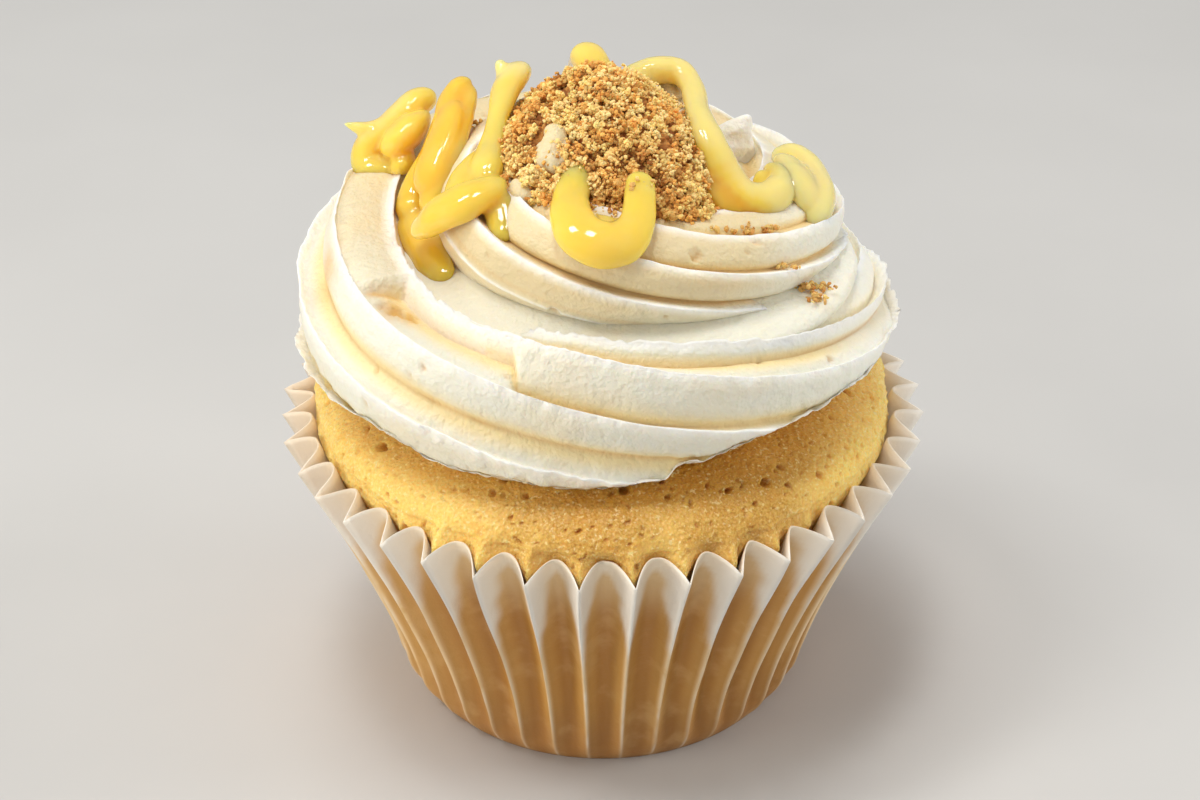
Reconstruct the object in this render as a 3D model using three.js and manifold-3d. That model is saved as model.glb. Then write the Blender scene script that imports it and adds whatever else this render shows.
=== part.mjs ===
// A lemon cheesecake cupcake: a golden sponge in a pleated paper case, a piped swirl of
// cream cheese frosting, looped strands of lemon curd and a heap of biscuit crumbs on top.
// Units are millimetres, +Z is up, the front faces -Y and the origin is the middle of the base.
import * as THREE from 'three';
import { mergeVertices } from 'three/addons/utils/BufferGeometryUtils.js';
import Module from 'manifold-3d';

// ---- driving dimensions -------------------------------------------------------------
const GAP = 0.3;                    // clearance kept between neighbouring solids

const BASE_RADIUS = 25.0;           // flat bottom of the paper case
const RIM_RADIUS = 41.6;            // outer pleat tips at the rim
const RIM_HEIGHT = 38.7;            // height of the outer pleat tips
const FOLD_RISE = 1.3;              // inner folds stand this much higher at the rim
const PAPER = 0.4;                  // paper thickness
const PLEATS = 40;
const PLEAT_TURN = 0.6;             // degrees from the front to the nearest inner fold
const CASE_HEIGHTS = [0, 1.2, 4, 12, 25, RIM_HEIGHT];

const SPONGE_RIM = 36.0;            // sponge radius where it leaves the paper
const SPONGE_SHOULDER = 40.5;       // height where the sponge starts to round over
const SPONGE_TOP = 48.2;            // crown of the sponge, under the frosting

const TEETH = 9;                    // star nozzle teeth, one ridge each
const TOOTH_DEPTH = 0.2;            // valley depth as a share of the rope's half size
const ROPE_START = 192;             // degrees clockwise from the front, seen from above
const ROPE_END = 1056;
const ROPE_STEP = 12;
const KNOT_START = 180;             // the rope's sizes are given every KNOT_STEP degrees
const KNOT_STEP = 60;
const ROPE_RADIUS = [31.5, 31.6, 30.1, 28, 28.8, 27.4, 25.4, 22.6, 18.3, 15.3, 12.9, 10.5, 8.5, 7, 5.5, 4];
const ROPE_HEIGHT = [49.5, 50.5, 52.1, 51.5, 52, 56.6, 60.2, 62, 64.5, 66.8, 68, 70, 72, 73, 73.5, 74];
const ROPE_ROLL = [-112, -66, -19, 23, 61, 62, 91, 124, 167, 208, 248, 287, 325, 363, 401, 440];
const ROPE_HALF_WIDTH = [6, 6.2, 5.4, 5.6, 9.8, 9.8, 9.8, 10.1, 9.6, 9.5, 9.6, 9.2, 8.6, 7, 5.6, 4.5];
const ROPE_HALF_HEIGHT = [6.5, 6.9, 8.3, 12.4, 13.6, 13.4, 10.2, 6.8, 6.6, 7.4, 7.3, 7.6, 7.8, 7, 6, 5];
// The frosting overhangs the sponge: its underside starts at this radius, at eight even
// directions from the front clockwise, and rises outwards from there.
const UNDER_RADIUS = [29.5, 30.5, 31.5, 30, 29, 29, 29, 26.5];
const UNDER_HEIGHT = 46.2;
const UNDER_SLOPE = 0.75;

const PEAK_FOOT = [14.2, 12, 67];   // torn tip of frosting at the back right
const PEAK_TIP = [18.1, 12, 73.5];
const PEAK_RADIUS = 4.4;

const CURD_STEP = 2.6;              // length of one ring step along a strand of curd
const CURD_SIDES = 8;
// Course of each strand's middle line over the frosting.
const STRANDS = {
  far_left: [[-21.5, 16, 72], [-23.5, 13.5, 73.5], [-26.5, 12.5, 73], [-28.5, 12, 70.5],
    [-30, 11.5, 68.5], [-29, 9.5, 67.5], [-26.5, 8.5, 67.5], [-24.5, 9.5, 68.5]],
  far_left_web: [[-24, 12.5, 71.5], [-26.5, 11.5, 70.5], [-28.5, 10.5, 69.5]],
  loop_right: [[-18.5, 14, 77], [-18, 8, 77], [-19, 2.5, 75], [-19.5, -1.5, 73],
    [-21, -4, 70.5], [-22, -4.5, 67], [-21, -6, 64.5]],
  loop_left: [[-18.5, 14, 77], [-20, 12, 75.5], [-21, 9.5, 73.5], [-22.5, 7, 70.5],
    [-23.5, 3.5, 68.5], [-24, 0.5, 66.5], [-23.5, -2, 64.5]],
  middle: [[-11.5, 10, 80.5], [-12, 6, 79], [-12.5, 1, 78], [-13.5, -3.5, 76],
    [-13.5, -9, 75], [-14.5, -12.5, 73.5], [-17.5, -12.5, 72], [-20, -10, 69.5], [-22.5, -7.5, 67.5]],
  front: [[-3, -10, 77.5], [-3.5, -13.5, 75.5], [-3.5, -17.5, 74.5], [-2, -22, 74],
    [0.5, -23.5, 73], [3, -21.5, 73.5], [4.5, -17, 74.5], [4.5, -13, 75.5]],
  right: [[6, 7.5, 79.5], [7, 9, 80.5], [9, 10, 80.5], [11, 8.5, 80], [11.5, 5, 79], [12.5, 0, 78.5],
    [13, -4, 77], [14, -5.5, 74], [16.5, -6.5, 71], [19, -6.5, 70], [21.5, -3, 70], [22, 1.5, 69.5],
    [20.5, 3, 70]],
  right_lobe: [[21.5, 8, 69], [23.5, 9, 69], [25.5, 7, 68.5], [26.5, 3.5, 68], [26.5, -1, 67.5],
    [25.5, -6, 67.5]],
  back: [[-2, 16, 76], [-2.3, 14, 79], [-2, 12, 80.8], [-1.5, 9, 80.6], [-1, 6, 79.5]],
};

const HEAP_TOP = 83.4;              // crown of the crumb heap
const HEAP_CROWN_BACK = 2.5;        // the crown lies this far behind the middle
// Reach of the heap and height of its foot at eight even directions, from the front
// clockwise seen from above.
const HEAP_REACH = [14.5, 15.5, 12.5, 13, 14, 10, 15, 15.9];
const HEAP_FOOT = [73.5, 74.5, 75.5, 76, 77, 75, 71, 71.5];

const wasm = await Module();
wasm.setup();

// ---- small helpers ------------------------------------------------------------------
const rad = (degrees) => degrees * Math.PI / 180;

// Smooth curve through evenly spaced values, first at start, then every step.
function along(values, start, step, at) {
  const u = (at - start) / step;
  const i = Math.max(0, Math.min(values.length - 2, Math.floor(u)));
  const f = Math.max(0, Math.min(1, u - i));
  const b = values[i];
  const c = values[i + 1];
  const a = values[Math.max(0, i - 1)];
  const d = values[Math.min(values.length - 1, i + 2)];
  const slopeIn = (c - a) / 2;
  const slopeOut = (d - b) / 2;
  return b * (1 + 2 * f) * (1 - f) ** 2 + slopeIn * f * (1 - f) ** 2
    + c * f * f * (3 - 2 * f) + slopeOut * f * f * (f - 1);
}

// Smooth curve through [place, value] pairs.
function through(pairs, at) {
  let i = 0;
  while (i < pairs.length - 2 && at > pairs[i + 1][0]) {
    i += 1;
  }
  const [x0, y0] = pairs[i];
  const [x1, y1] = pairs[i + 1];
  const f = Math.max(0, Math.min(1, (at - x0) / (x1 - x0)));
  const s0 = i > 0 ? (y1 - pairs[i - 1][1]) / (x1 - pairs[i - 1][0]) : (y1 - y0) / (x1 - x0);
  const s1 = i < pairs.length - 2
    ? (pairs[i + 2][1] - y0) / (pairs[i + 2][0] - x0) : (y1 - y0) / (x1 - x0);
  const w = x1 - x0;
  return y0 * (1 + 2 * f) * (1 - f) ** 2 + s0 * w * f * (1 - f) ** 2
    + y1 * f * f * (3 - 2 * f) + s1 * w * f * f * (f - 1);
}

// Closed skin over rings of equal length, capped with a fan at each end.
function skin(rings, first, last) {
  const count = rings[0].length;
  const points = rings.flat();
  const faces = [];
  for (let i = 0; i < rings.length - 1; i += 1) {
    for (let j = 0; j < count; j += 1) {
      const a = i * count + j;
      const b = i * count + (j + 1) % count;
      faces.push(a, b, b + count, a, b + count, a + count);
    }
  }
  const start = points.length;
  points.push(first, last);
  const top = (rings.length - 1) * count;
  for (let j = 0; j < count; j += 1) {
    const k = (j + 1) % count;
    faces.push(start, k, j, start + 1, top + j, top + k);
  }
  return solid(points, faces);
}

function solid(points, faces) {
  const geometry = new THREE.BufferGeometry();
  geometry.setAttribute('position', new THREE.Float32BufferAttribute(points.flat(), 3));
  geometry.setIndex(faces);
  return toManifold(geometry);
}

function toManifold(geometry) {
  const plain = geometry.clone();
  plain.deleteAttribute('normal');
  plain.deleteAttribute('uv');
  const merged = mergeVertices(plain, 1e-4);
  return new wasm.Manifold(new wasm.Mesh({
    numProp: 3,
    vertProperties: new Float32Array(merged.attributes.position.array),
    triVerts: new Uint32Array(merged.index.array),
  }));
}

// Back to a geometry, with only the largest closed shell kept, so that no pocket of
// air stays sealed between two turns of the rope.
function largest(manifold) {
  return manifold.decompose().sort((p, q) => q.volume() - p.volume())[0];
}

function outerShell(manifold, fineness = 0.05) {
  let shell = largest(manifold);
  for (let pass = 0; pass < 2; pass += 1) {
    const mesh = shell.simplify(fineness).getMesh();
    const geometry = new THREE.BufferGeometry();
    const snapped = mesh.vertProperties.map((x) => Math.round(x * 500) / 500);
    geometry.setAttribute('position', new THREE.BufferAttribute(snapped, 3));
    geometry.setIndex(new THREE.BufferAttribute(mesh.triVerts, 1));
    shell = largest(toManifold(geometry));
  }
  const mesh = shell.getMesh();
  const geometry = new THREE.BufferGeometry();
  geometry.setAttribute('position', new THREE.BufferAttribute(mesh.vertProperties, 3));
  geometry.setIndex(new THREE.BufferAttribute(mesh.triVerts, 1));
  return geometry;
}

function material(color, roughness) {
  return new THREE.MeshStandardMaterial({ color, roughness, metalness: 0 });
}

const part = new THREE.Group();
function add(name, geometry, color, roughness) {
  const flat = geometry.toNonIndexed();
  flat.computeVertexNormals();
  const mesh = new THREE.Mesh(flat, material(color, roughness));
  mesh.name = name;
  part.add(mesh);
}

// ---- paper case -----------------------------------------------------------------------
// Outer pleat line, slightly flared: steep above the base and wider towards the rim.
const WALL_LINE = [
  [0, BASE_RADIUS], [1.2, BASE_RADIUS + 1.1], [4, BASE_RADIUS + 2.4], [12, BASE_RADIUS + 4.9],
  [25, BASE_RADIUS + 10.0], [RIM_HEIGHT, RIM_RADIUS],
];

// The pleated wall holds the paper of a flat disc, and what the circle can't take up
// goes into the pleats: that gives their depth.
function pleatDepth(z) {
  const radius = through(WALL_LINE, z);
  const paperLength = BASE_RADIUS + 1.09 * z;
  const facet = Math.PI * paperLength / PLEATS;
  const reach = Math.PI * (radius - 2) / PLEATS;
  return Math.sqrt(Math.max(0.0, facet * facet - reach * reach));
}

function wallPoint(column, z, inset) {
  const outward = column % 2 === 1;
  const angle = rad(PLEAT_TURN + column * 180 / PLEATS);
  const share = z / RIM_HEIGHT;
  const depth = pleatDepth(z) * Math.min(1, z / 4);
  const radius = through(WALL_LINE, z) - (outward ? 0 : depth) - inset;
  const height = z + (outward ? 0 : FOLD_RISE * share ** 3);
  return [radius * Math.sin(angle), -radius * Math.cos(angle), height];
}

function paperCase() {
  const columns = [...Array(2 * PLEATS).keys()];
  const outside = CASE_HEIGHTS.map((z) => columns.map((c) => wallPoint(c, z, 0)));
  const inside = CASE_HEIGHTS.map((z) => columns.map((c) => {
    const point = wallPoint(c, z, PAPER * 1.15);
    point[2] = Math.max(PAPER, point[2]);
    return point;
  }));
  return skin([...outside, ...inside.reverse()], [0, 0, 0], [0, 0, PAPER]);
}

// ---- sponge -----------------------------------------------------------------------------
function spongeRadius(z) {
  const inCase = through(WALL_LINE, z) - pleatDepth(z) * Math.min(1, z / 4) - PAPER * 1.15 - 2 * GAP;
  const rounded = (z - SPONGE_SHOULDER) / (SPONGE_TOP - SPONGE_SHOULDER);
  if (rounded <= 0) {
    return Math.min(inCase, SPONGE_RIM);
  }
  return SPONGE_RIM * Math.sqrt(Math.max(0, 1 - rounded ** 2.4));
}

function spongeBody(grow) {
  const low = PAPER + GAP + 0.05;
  const heights = [low, 4, 12, 25, 36.5, SPONGE_SHOULDER, 43, 45, 46.5, 47.5];
  const sides = 40;
  const rings = heights.map((z) => [...Array(sides).keys()].map((i) => {
    const angle = 2 * Math.PI * i / sides;
    const swell = z < 37 ? 0 : 0.35 * Math.sin(3 * angle + 1) + 0.25 * Math.sin(7 * angle + z / 3);
    const radius = spongeRadius(z) + swell + grow - (z < 1 ? 0.4 : 0);
    return [radius * Math.sin(angle), -radius * Math.cos(angle), z + (z > 42 ? grow : 0)];
  }));
  return skin(rings, [0, 0, low], [0, 0, SPONGE_TOP + grow]);
}

// ---- frosting ----------------------------------------------------------------------------
// Point on the rope's skin: turn is the way round the cake and tooth the angle round the rope.
function ropePoint(turn, angle, grow) {
  const at = (values) => along(values, KNOT_START, KNOT_STEP, turn);
  const ease = Math.min(1, (turn - ROPE_START) / 40);
  const taper = Math.sqrt(Math.max(0.02, ease * (2 - ease)));
  const roll = rad(at(ROPE_ROLL));
  const star = 1 - TOOTH_DEPTH * Math.abs(Math.sin(TEETH * (angle - roll) / 2));
  const across = (at(ROPE_HALF_WIDTH) * star) * taper + grow;
  const upright = (at(ROPE_HALF_HEIGHT) * star) * taper + grow;
  const radius = Math.max(0.4, at(ROPE_RADIUS) + across * Math.cos(angle));
  const height = at(ROPE_HEIGHT) + upright * Math.sin(angle);
  const way = rad(turn);
  return [-radius * Math.sin(way), -radius * Math.cos(way), height];
}

function ropeSection(turn, grow) {
  const roll = rad(along(ROPE_ROLL, KNOT_START, KNOT_STEP, turn));
  const perTooth = 3;
  const count = TEETH * perTooth;
  return [...Array(count).keys()].map((i) => ropePoint(turn, roll + 2 * Math.PI * i / count, grow));
}

// The torn tip of frosting that stands up behind the right-hand strand.
function torn(grow) {
  const [foot, tip] = [new THREE.Vector3(...PEAK_FOOT), new THREE.Vector3(...PEAK_TIP)];
  const rings = [0, 0.25, 0.5, 0.75, 0.95].map((u) => {
    const middle = foot.clone().lerp(tip, u);
    const radius = PEAK_RADIUS * (1 - u) ** 0.6 + grow;
    return [...Array(7).keys()].map((j) => {
      const angle = 2 * Math.PI * j / 7;
      return [middle.x + radius * Math.cos(angle), middle.y + 0.6 * radius * Math.sin(angle), middle.z];
    });
  });
  return skin(rings, foot.toArray(), [tip.x, tip.y, tip.z + grow]);
}

// Everything below the frosting's underside.
function underside() {
  const sides = 40;
  const rings = [[60, 0], [60, 1], [46, 1], [0, 1]].map(([reach, up]) =>
    [...Array(sides).keys()].map((j) => {
      const angle = 360 * j / sides;
      const foot = along([...UNDER_RADIUS, UNDER_RADIUS[0]], 0, 45, angle);
      const radius = reach || foot;
      const height = up ? UNDER_HEIGHT + UNDER_SLOPE * Math.max(0, radius - foot) : 20;
      return [-radius * Math.sin(rad(angle)), -radius * Math.cos(rad(angle)), height];
    }).reverse());
  return skin(rings, [0, 0, 20], [0, 0, UNDER_HEIGHT]);
}

function frosting(grow) {
  const middle = (ring) => ring[0].map((_, k) => ring.reduce((sum, p) => sum + p[k], 0) / ring.length);
  let body = null;
  const span = 6 * ROPE_STEP;
  for (let start = ROPE_START; start < ROPE_END - 1; start += span) {
    const rings = [];
    for (let turn = start; turn <= Math.min(start + span, ROPE_END) + 0.01; turn += ROPE_STEP) {
      rings.push(ropeSection(turn, grow));
    }
    const length = skin(rings, middle(rings[0]), middle(rings[rings.length - 1]));
    body = body ? body.add(length) : length;
  }
  const core = new THREE.LatheGeometry([
    [0, 40], [26, 40], [27, 50], [22, 60], [14, 70], [8, 77], [0, 79.5],
  ].map(([x, y]) => new THREE.Vector2(x ? x + 1.5 * grow : 0, y + 1.5 * grow)), 36).rotateX(Math.PI / 2);
  return body.add(toManifold(core)).add(torn(grow));
}

// ---- lemon curd ------------------------------------------------------------------------------
// A round strand along its course, drawn in to blunt ends.
function strand(course, sizes, grow) {
  const curve = new THREE.CatmullRomCurve3(course.map((p) => new THREE.Vector3(...p)), false, 'centripetal');
  const steps = Math.max(5, Math.round(curve.getLength() / CURD_STEP));
  const frames = curve.computeFrenetFrames(steps, false);
  const rings = [];
  for (let i = 0; i <= steps; i += 1) {
    const u = i / steps;
    const thick = along(sizes, 0, 1 / (sizes.length - 1), u);
    const end = Math.min(u, 1 - u) * curve.getLength() / thick;
    const blunt = Math.sqrt(Math.min(1, 0.35 + 0.65 * end));
    const swell = 1 + 0.08 * Math.sin(7 * u * steps / 6 + course.length);
    const middle = curve.getPointAt(u);
    rings.push([...Array(CURD_SIDES).keys()].map((j) => {
      const angle = 2 * Math.PI * j / CURD_SIDES;
      return middle.clone()
        .addScaledVector(frames.normals[i], Math.cos(angle) * (thick * blunt * swell + grow))
        .addScaledVector(frames.binormals[i], Math.sin(angle) * (thick * blunt * swell + grow))
        .toArray();
    }));
  }
  const ends = [0, 1].map((u) => curve.getPointAt(u)
    .addScaledVector(curve.getTangentAt(u), (u ? 1 : -1) * (0.6 + grow)).toArray());
  return skin(rings, ends[0], ends[1]);
}

// ---- crumb heap --------------------------------------------------------------------------------
function heap() {
  const sides = 24;
  const rings = [];
  const round = (values, angle) => along([...values, values[0]], 0, 45, angle);
  for (let i = 0; i <= 6; i += 1) {
    const u = i === 0 ? 1 : 1 - (i - 1) / 6;
    rings.push([...Array(sides).keys()].map((j) => {
      const angle = 360 * j / sides;
      const lump = 1 + 0.035 * Math.sin(5 * rad(angle) + 2 * i) + 0.03 * Math.sin(9 * rad(angle) + i);
      const radius = round(HEAP_REACH, angle) * u * lump;
      const foot = round(HEAP_FOOT, angle);
      const rise = (1 - u ** 2) ** 0.75;
      const height = i === 0 ? foot - 7 : foot + (HEAP_TOP - foot) * rise + 0.35 * Math.sin(3 * i + 4 * j);
      const back = HEAP_CROWN_BACK * (1 - u);
      return [-radius * Math.sin(rad(angle)), back - radius * Math.cos(rad(angle)), height];
    }));
  }
  return skin(rings.map((ring) => ring.reverse()), [0, 0, 66], [0, HEAP_CROWN_BACK, HEAP_TOP]);
}

// ---- assembly ------------------------------------------------------------------------------
const CURD_COLOR = 0xf2cf55;
const sponge = spongeBody(0);
const cream = frosting(0).subtract(spongeBody(GAP)).subtract(underside());
const creamRoom = frosting(1.4 * GAP);
const curd = {
  curd_far_left: [['far_left', [2.4, 2.9, 3.0, 3.0, 2.6]], ['far_left_web', [2.4, 2.6, 2.4]]],
  curd_left_loop: [['loop_right', [2.0, 2.1, 2.2, 2.4, 2.0]], ['loop_left', [2.0, 2.0, 2.1, 2.2, 2.0]]],
  curd_middle: [['middle', [2.0, 1.9, 1.8, 2.1, 2.1, 1.9]]],
  curd_front: [['front', [1.8, 2.0, 2.4, 2.2, 1.8]]],
  curd_right: [['right', [1.8, 2.1, 1.9, 2.2, 2.6, 2.4, 2.0]]],
  curd_right_lobe: [['right_lobe', [1.9, 2.1, 2.0, 1.8]]],
  curd_back: [['back', [2.0, 2.6, 2.2]]],
};

add('paper_case', outerShell(paperCase()), 0xefe4d2, 0.75);
add('sponge', outerShell(sponge), 0xe6b868, 0.85);
add('cream_swirl', outerShell(cream), 0xfaf3e0, 0.45);

let taken = creamRoom;
for (const [name, courses] of Object.entries(curd)) {
  const join = (grow) => courses
    .map(([course, thick]) => strand(STRANDS[course], thick, grow))
    .reduce((a, b) => a.add(b));
  add(name, outerShell(join(0).subtract(taken)), CURD_COLOR, 0.15);
  taken = taken.add(join(1.5 * GAP));
}
add('crumb_heap', outerShell(heap().subtract(taken), 0.1), 0xcf9f5e, 0.9);

export default part;
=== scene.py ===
# %% [markdown]
# # A lemon cheesecake cupcake
# A golden sponge stands in a pleated paper case. A rope of cream cheese frosting, piped
# through a star nozzle, is wound on it in nearly two and a half turns, and looped strands of
# lemon curd and a heap of biscuit crumbs lie on top.
#
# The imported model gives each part's size and place. Each part is worked out here again as a
# much finer surface in the same place, and the fine piece then stands for the plain solid.
# Lengths are in millimetres until a mesh is made, and directions round the cake are degrees
# clockwise from the front, seen from above.

# %% Load the frame
import math

import bpy
import numpy as np
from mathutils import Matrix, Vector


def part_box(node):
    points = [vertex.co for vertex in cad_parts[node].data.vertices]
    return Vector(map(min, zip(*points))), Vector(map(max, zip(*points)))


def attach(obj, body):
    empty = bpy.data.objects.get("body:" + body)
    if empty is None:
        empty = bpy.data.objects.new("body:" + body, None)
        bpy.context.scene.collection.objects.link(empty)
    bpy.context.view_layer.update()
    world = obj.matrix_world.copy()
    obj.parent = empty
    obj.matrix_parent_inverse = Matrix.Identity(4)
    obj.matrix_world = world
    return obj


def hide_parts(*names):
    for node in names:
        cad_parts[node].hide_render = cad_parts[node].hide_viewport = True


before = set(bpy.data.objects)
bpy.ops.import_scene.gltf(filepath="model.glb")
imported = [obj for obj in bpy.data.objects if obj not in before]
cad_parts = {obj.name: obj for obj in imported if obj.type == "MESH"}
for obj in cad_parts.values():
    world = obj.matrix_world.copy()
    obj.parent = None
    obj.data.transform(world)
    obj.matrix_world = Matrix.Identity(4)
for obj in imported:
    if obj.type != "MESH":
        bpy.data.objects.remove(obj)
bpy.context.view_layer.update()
MM = 0.001


def box_mm(node):
    """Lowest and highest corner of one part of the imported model, in mm."""
    low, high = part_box(node)
    return np.array(low) / MM, np.array(high) / MM


# %% [markdown]
# ## Curves through a few values
# A hand-made shape changes slowly along its length, so a handful of sizes and a smooth curve
# through them describe it. A spline object in Blender could hold them too, but a function on
# arrays gives every ring of a surface at once. Both functions are cubic between each two
# values, with the slope at a value taken from its neighbours.

# %% Smooth curves
def along(values, start, step, at):
    """Curve through evenly spaced values: the cubic that meets each value with the mean slope
    of the stretch before it and the stretch after it."""
    values = np.asarray(values, float)
    last = len(values) - 1
    u = (np.asarray(at, float) - start) / step
    i = np.clip(np.floor(u).astype(int), 0, last - 1)
    f = np.clip(u - i, 0, 1)
    before, low, high, after = (values[np.clip(i + k, 0, last)] for k in (-1, 0, 1, 2))
    return (low * (1 + 2 * f) * (1 - f) ** 2 + (high - before) / 2 * f * (1 - f) ** 2
            + high * f * f * (3 - 2 * f) + (after - low) / 2 * f * f * (f - 1))


def around(values, degrees):
    """Curve round a circle whose values stand at even directions from the front, clockwise."""
    return along([*values, values[0]], 0, 360 / len(values), np.mod(degrees, 360))


def through(places, values, at):
    """Curve through unevenly spaced values: the cubic that meets each value with the slope
    of its neighbourhood."""
    places, values = np.asarray(places, float), np.asarray(values, float)
    slopes = np.gradient(values, places)
    i = np.clip(np.searchsorted(places, at) - 1, 0, len(places) - 2)
    width = places[i + 1] - places[i]
    f = np.clip((at - places[i]) / width, 0, 1)
    return (values[i] * (1 + 2 * f) * (1 - f) ** 2 + slopes[i] * width * f * (1 - f) ** 2
            + values[i + 1] * f * f * (3 - 2 * f) + slopes[i + 1] * width * f * f * (f - 1))


def smooth(low, high, at):
    """Share that goes from 0 at low to 1 at high and is level at both: 3f² - 2f³."""
    f = np.clip((at - low) / (high - low), 0, 1)
    return f * f * (3 - 2 * f)


def polar(radius, degrees, height):
    """Points at a radius and height in a direction clockwise from the front."""
    way = np.radians(degrees)
    radius, way, height = np.broadcast_arrays(radius, way, height)
    return np.stack([-radius * np.sin(way), -radius * np.cos(way), height], -1)


print("half way up from 2 to 4:", along([2, 4], 0, 1, 0.5))

# %% [markdown]
# ## Unevenness
# Nothing baked or piped is even. Two kinds of unevenness are enough here. `noise` is a smooth
# random height, for swellings and ragged edges. `nearest_spot` strews spots through space and
# says how far the nearest one is, for pores, air holes and lumps. Both come from one function
# that scrambles whole numbers, so a run always gives the same cake.

# %% Random heights and spots
def lattice(cell, seed):
    """A share of 1 for each cell of space: its three whole numbers are multiplied by large
    primes and their bits are mixed, so that neighbours get unlike shares."""
    primes = np.array([73856093, 19349663, 83492791], np.uint64)
    x, y, z = np.moveaxis(np.mod(cell, 65536).astype(np.uint64) * primes, -1, 0)
    mixed = x ^ y ^ z ^ np.uint64(seed * 40503 + 17)
    for shift, factor in ((13, 1274126177), (16, 2246822519)):
        mixed = ((mixed ^ (mixed >> np.uint64(shift))) * np.uint64(factor)) & np.uint64(0xFFFFFFFF)
    return ((mixed ^ (mixed >> np.uint64(15))) & np.uint64(0xFFFFFF)) / 0xFFFFFF


def noise(points, size, seed=0):
    """Smooth random height from -1 to 1 that changes over size mm: the shares of the eight
    corners of the cell that a point lies in, blended by 3f² - 2f³ along each axis."""
    place = np.asarray(points, float) / size
    cell = np.floor(place)
    f = place - cell
    blend = f * f * (3 - 2 * f)
    total = 0
    for corner in np.ndindex(2, 2, 2):
        share = np.prod(np.where(np.array(corner) == 1, blend, 1 - blend), axis=-1)
        total = total + share * lattice(cell + corner, seed)
    return 2 * total - 1


def nearest_spot(points, size, seed=0):
    """Distance in mm to the nearest of the spots strewn one to each cell of size mm, and that
    spot's own share of 1."""
    place = np.asarray(points, float) / size
    cell = np.floor(place)
    nearest = np.full(place.shape[:-1], np.inf)
    own = np.zeros(place.shape[:-1])
    for offset in np.ndindex(3, 3, 3):
        near = cell + offset - 1
        spot = near + np.stack([lattice(near, seed + k) for k in range(3)], -1)
        gap = np.linalg.norm(place - spot, axis=-1)
        closer = gap < nearest
        nearest = np.where(closer, gap, nearest)
        own = np.where(closer, lattice(near, seed + 3), own)
    return nearest * size, own


def sheet_of(*parts):
    """Places for noise made from separate numbers, such as a direction and a height."""
    return np.stack(np.broadcast_arrays(*parts), -1).astype(float)


print("one noise value:", round(float(noise([1.5, 2.5, 3.5], 2.0)), 3))

# %% [markdown]
# ## From a grid of points to a piece
# Each surface here is a grid: rings of points one after another. Neighbouring rings are joined
# by four-sided faces, and a point in the middle of the first and last ring closes the skin.
# Adding vertices one by one would be slow for 80,000 of them, so whole arrays go to the mesh
# with `foreach_set`. A closed skin that faces outwards has a volume above zero, so that number
# also says whether the faces have to be turned.

# %% Grid to mesh
def skin(grid):
    """Points and triangles of a closed skin over rings of points, with a fan at each end."""
    rows, columns = grid.shape[:2]
    points = np.concatenate([grid.reshape(-1, 3), grid[:1].mean(1), grid[-1:].mean(1)])
    here = np.arange(columns)
    after = (here + 1) % columns
    row = np.arange(rows - 1)[:, None] * columns
    a, b = row + here, row + after
    sides = np.stack([a, b, b + columns, a, b + columns, a + columns], -1).reshape(-1, 3)
    start, top = rows * columns, (rows - 1) * columns
    first = np.stack([np.full(columns, start), after, here], -1)
    last = np.stack([np.full(columns, start + 1), top + here, top + after], -1)
    return points, np.concatenate([sides, first, last])


def volume(points, faces):
    """Volume inside a closed skin: a sixth of the sum of each triangle's triple product."""
    a, b, c = (points[faces[:, k]] for k in range(3))
    return float(np.einsum("ij,ij->i", a, np.cross(b, c)).sum() / 6)


def add_piece(name, parts, material, nodes=(), marks=None, facets=False):
    """One named mesh from closed skins (points and triangles in mm), with a number for each
    point in every mark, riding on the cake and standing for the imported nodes. The fans at the
    ends are flat, so that they don't bend the light on the skin beside them."""
    counts = np.cumsum([0] + [len(points) for points, _ in parts])
    turned = [faces if volume(points, faces) > 0 else faces[:, ::-1] for points, faces in parts]
    points = np.concatenate([points for points, _ in parts]) * MM
    faces = np.concatenate([faces + first for faces, first in zip(turned, counts)])
    mesh = bpy.data.meshes.new(name)
    mesh.vertices.add(len(points))
    mesh.vertices.foreach_set("co", points.astype(np.float32).ravel())
    mesh.loops.add(faces.size)
    mesh.loops.foreach_set("vertex_index", faces.astype(np.int32).ravel())
    mesh.polygons.add(len(faces))
    mesh.polygons.foreach_set("loop_start", np.arange(0, faces.size, 3, dtype=np.int32))
    mesh.update(calc_edges=True)
    ends = [(faces >= len(points) - 2).any(1) for points, faces in parts]
    mesh.polygons.foreach_set("use_smooth", ~np.concatenate(ends) & (not facets))
    for mark, values in (marks or {}).items():
        held = mesh.attributes.new(mark, "FLOAT", "POINT")
        held.data.foreach_set("value", np.asarray(values, np.float32).ravel())
    mesh.materials.append(material)
    piece = bpy.data.objects.new(name, mesh)
    bpy.context.scene.collection.objects.link(piece)
    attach(piece, "root")
    if nodes:
        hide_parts(*nodes)
    print(f"{name}: {len(points)} points, {len(faces)} triangles")
    return piece


def with_ends(values):
    """The marks of a grid with those of the two middle points that close its skin."""
    return np.concatenate([values.ravel(), values[:1].mean(1), values[-1:].mean(1)])


# %% [markdown]
# ## Materials as arithmetic
# A Blender material is a net of nodes. Wiring each node by hand hides the thought behind it, so
# a small class wraps a socket and lets `1 - mask * 0.5` add the Math nodes itself. Every other
# node comes from one method, `node`, that sets the node's own options first and then its
# sockets. What is the same all over a piece is set on the shader directly.

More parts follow.
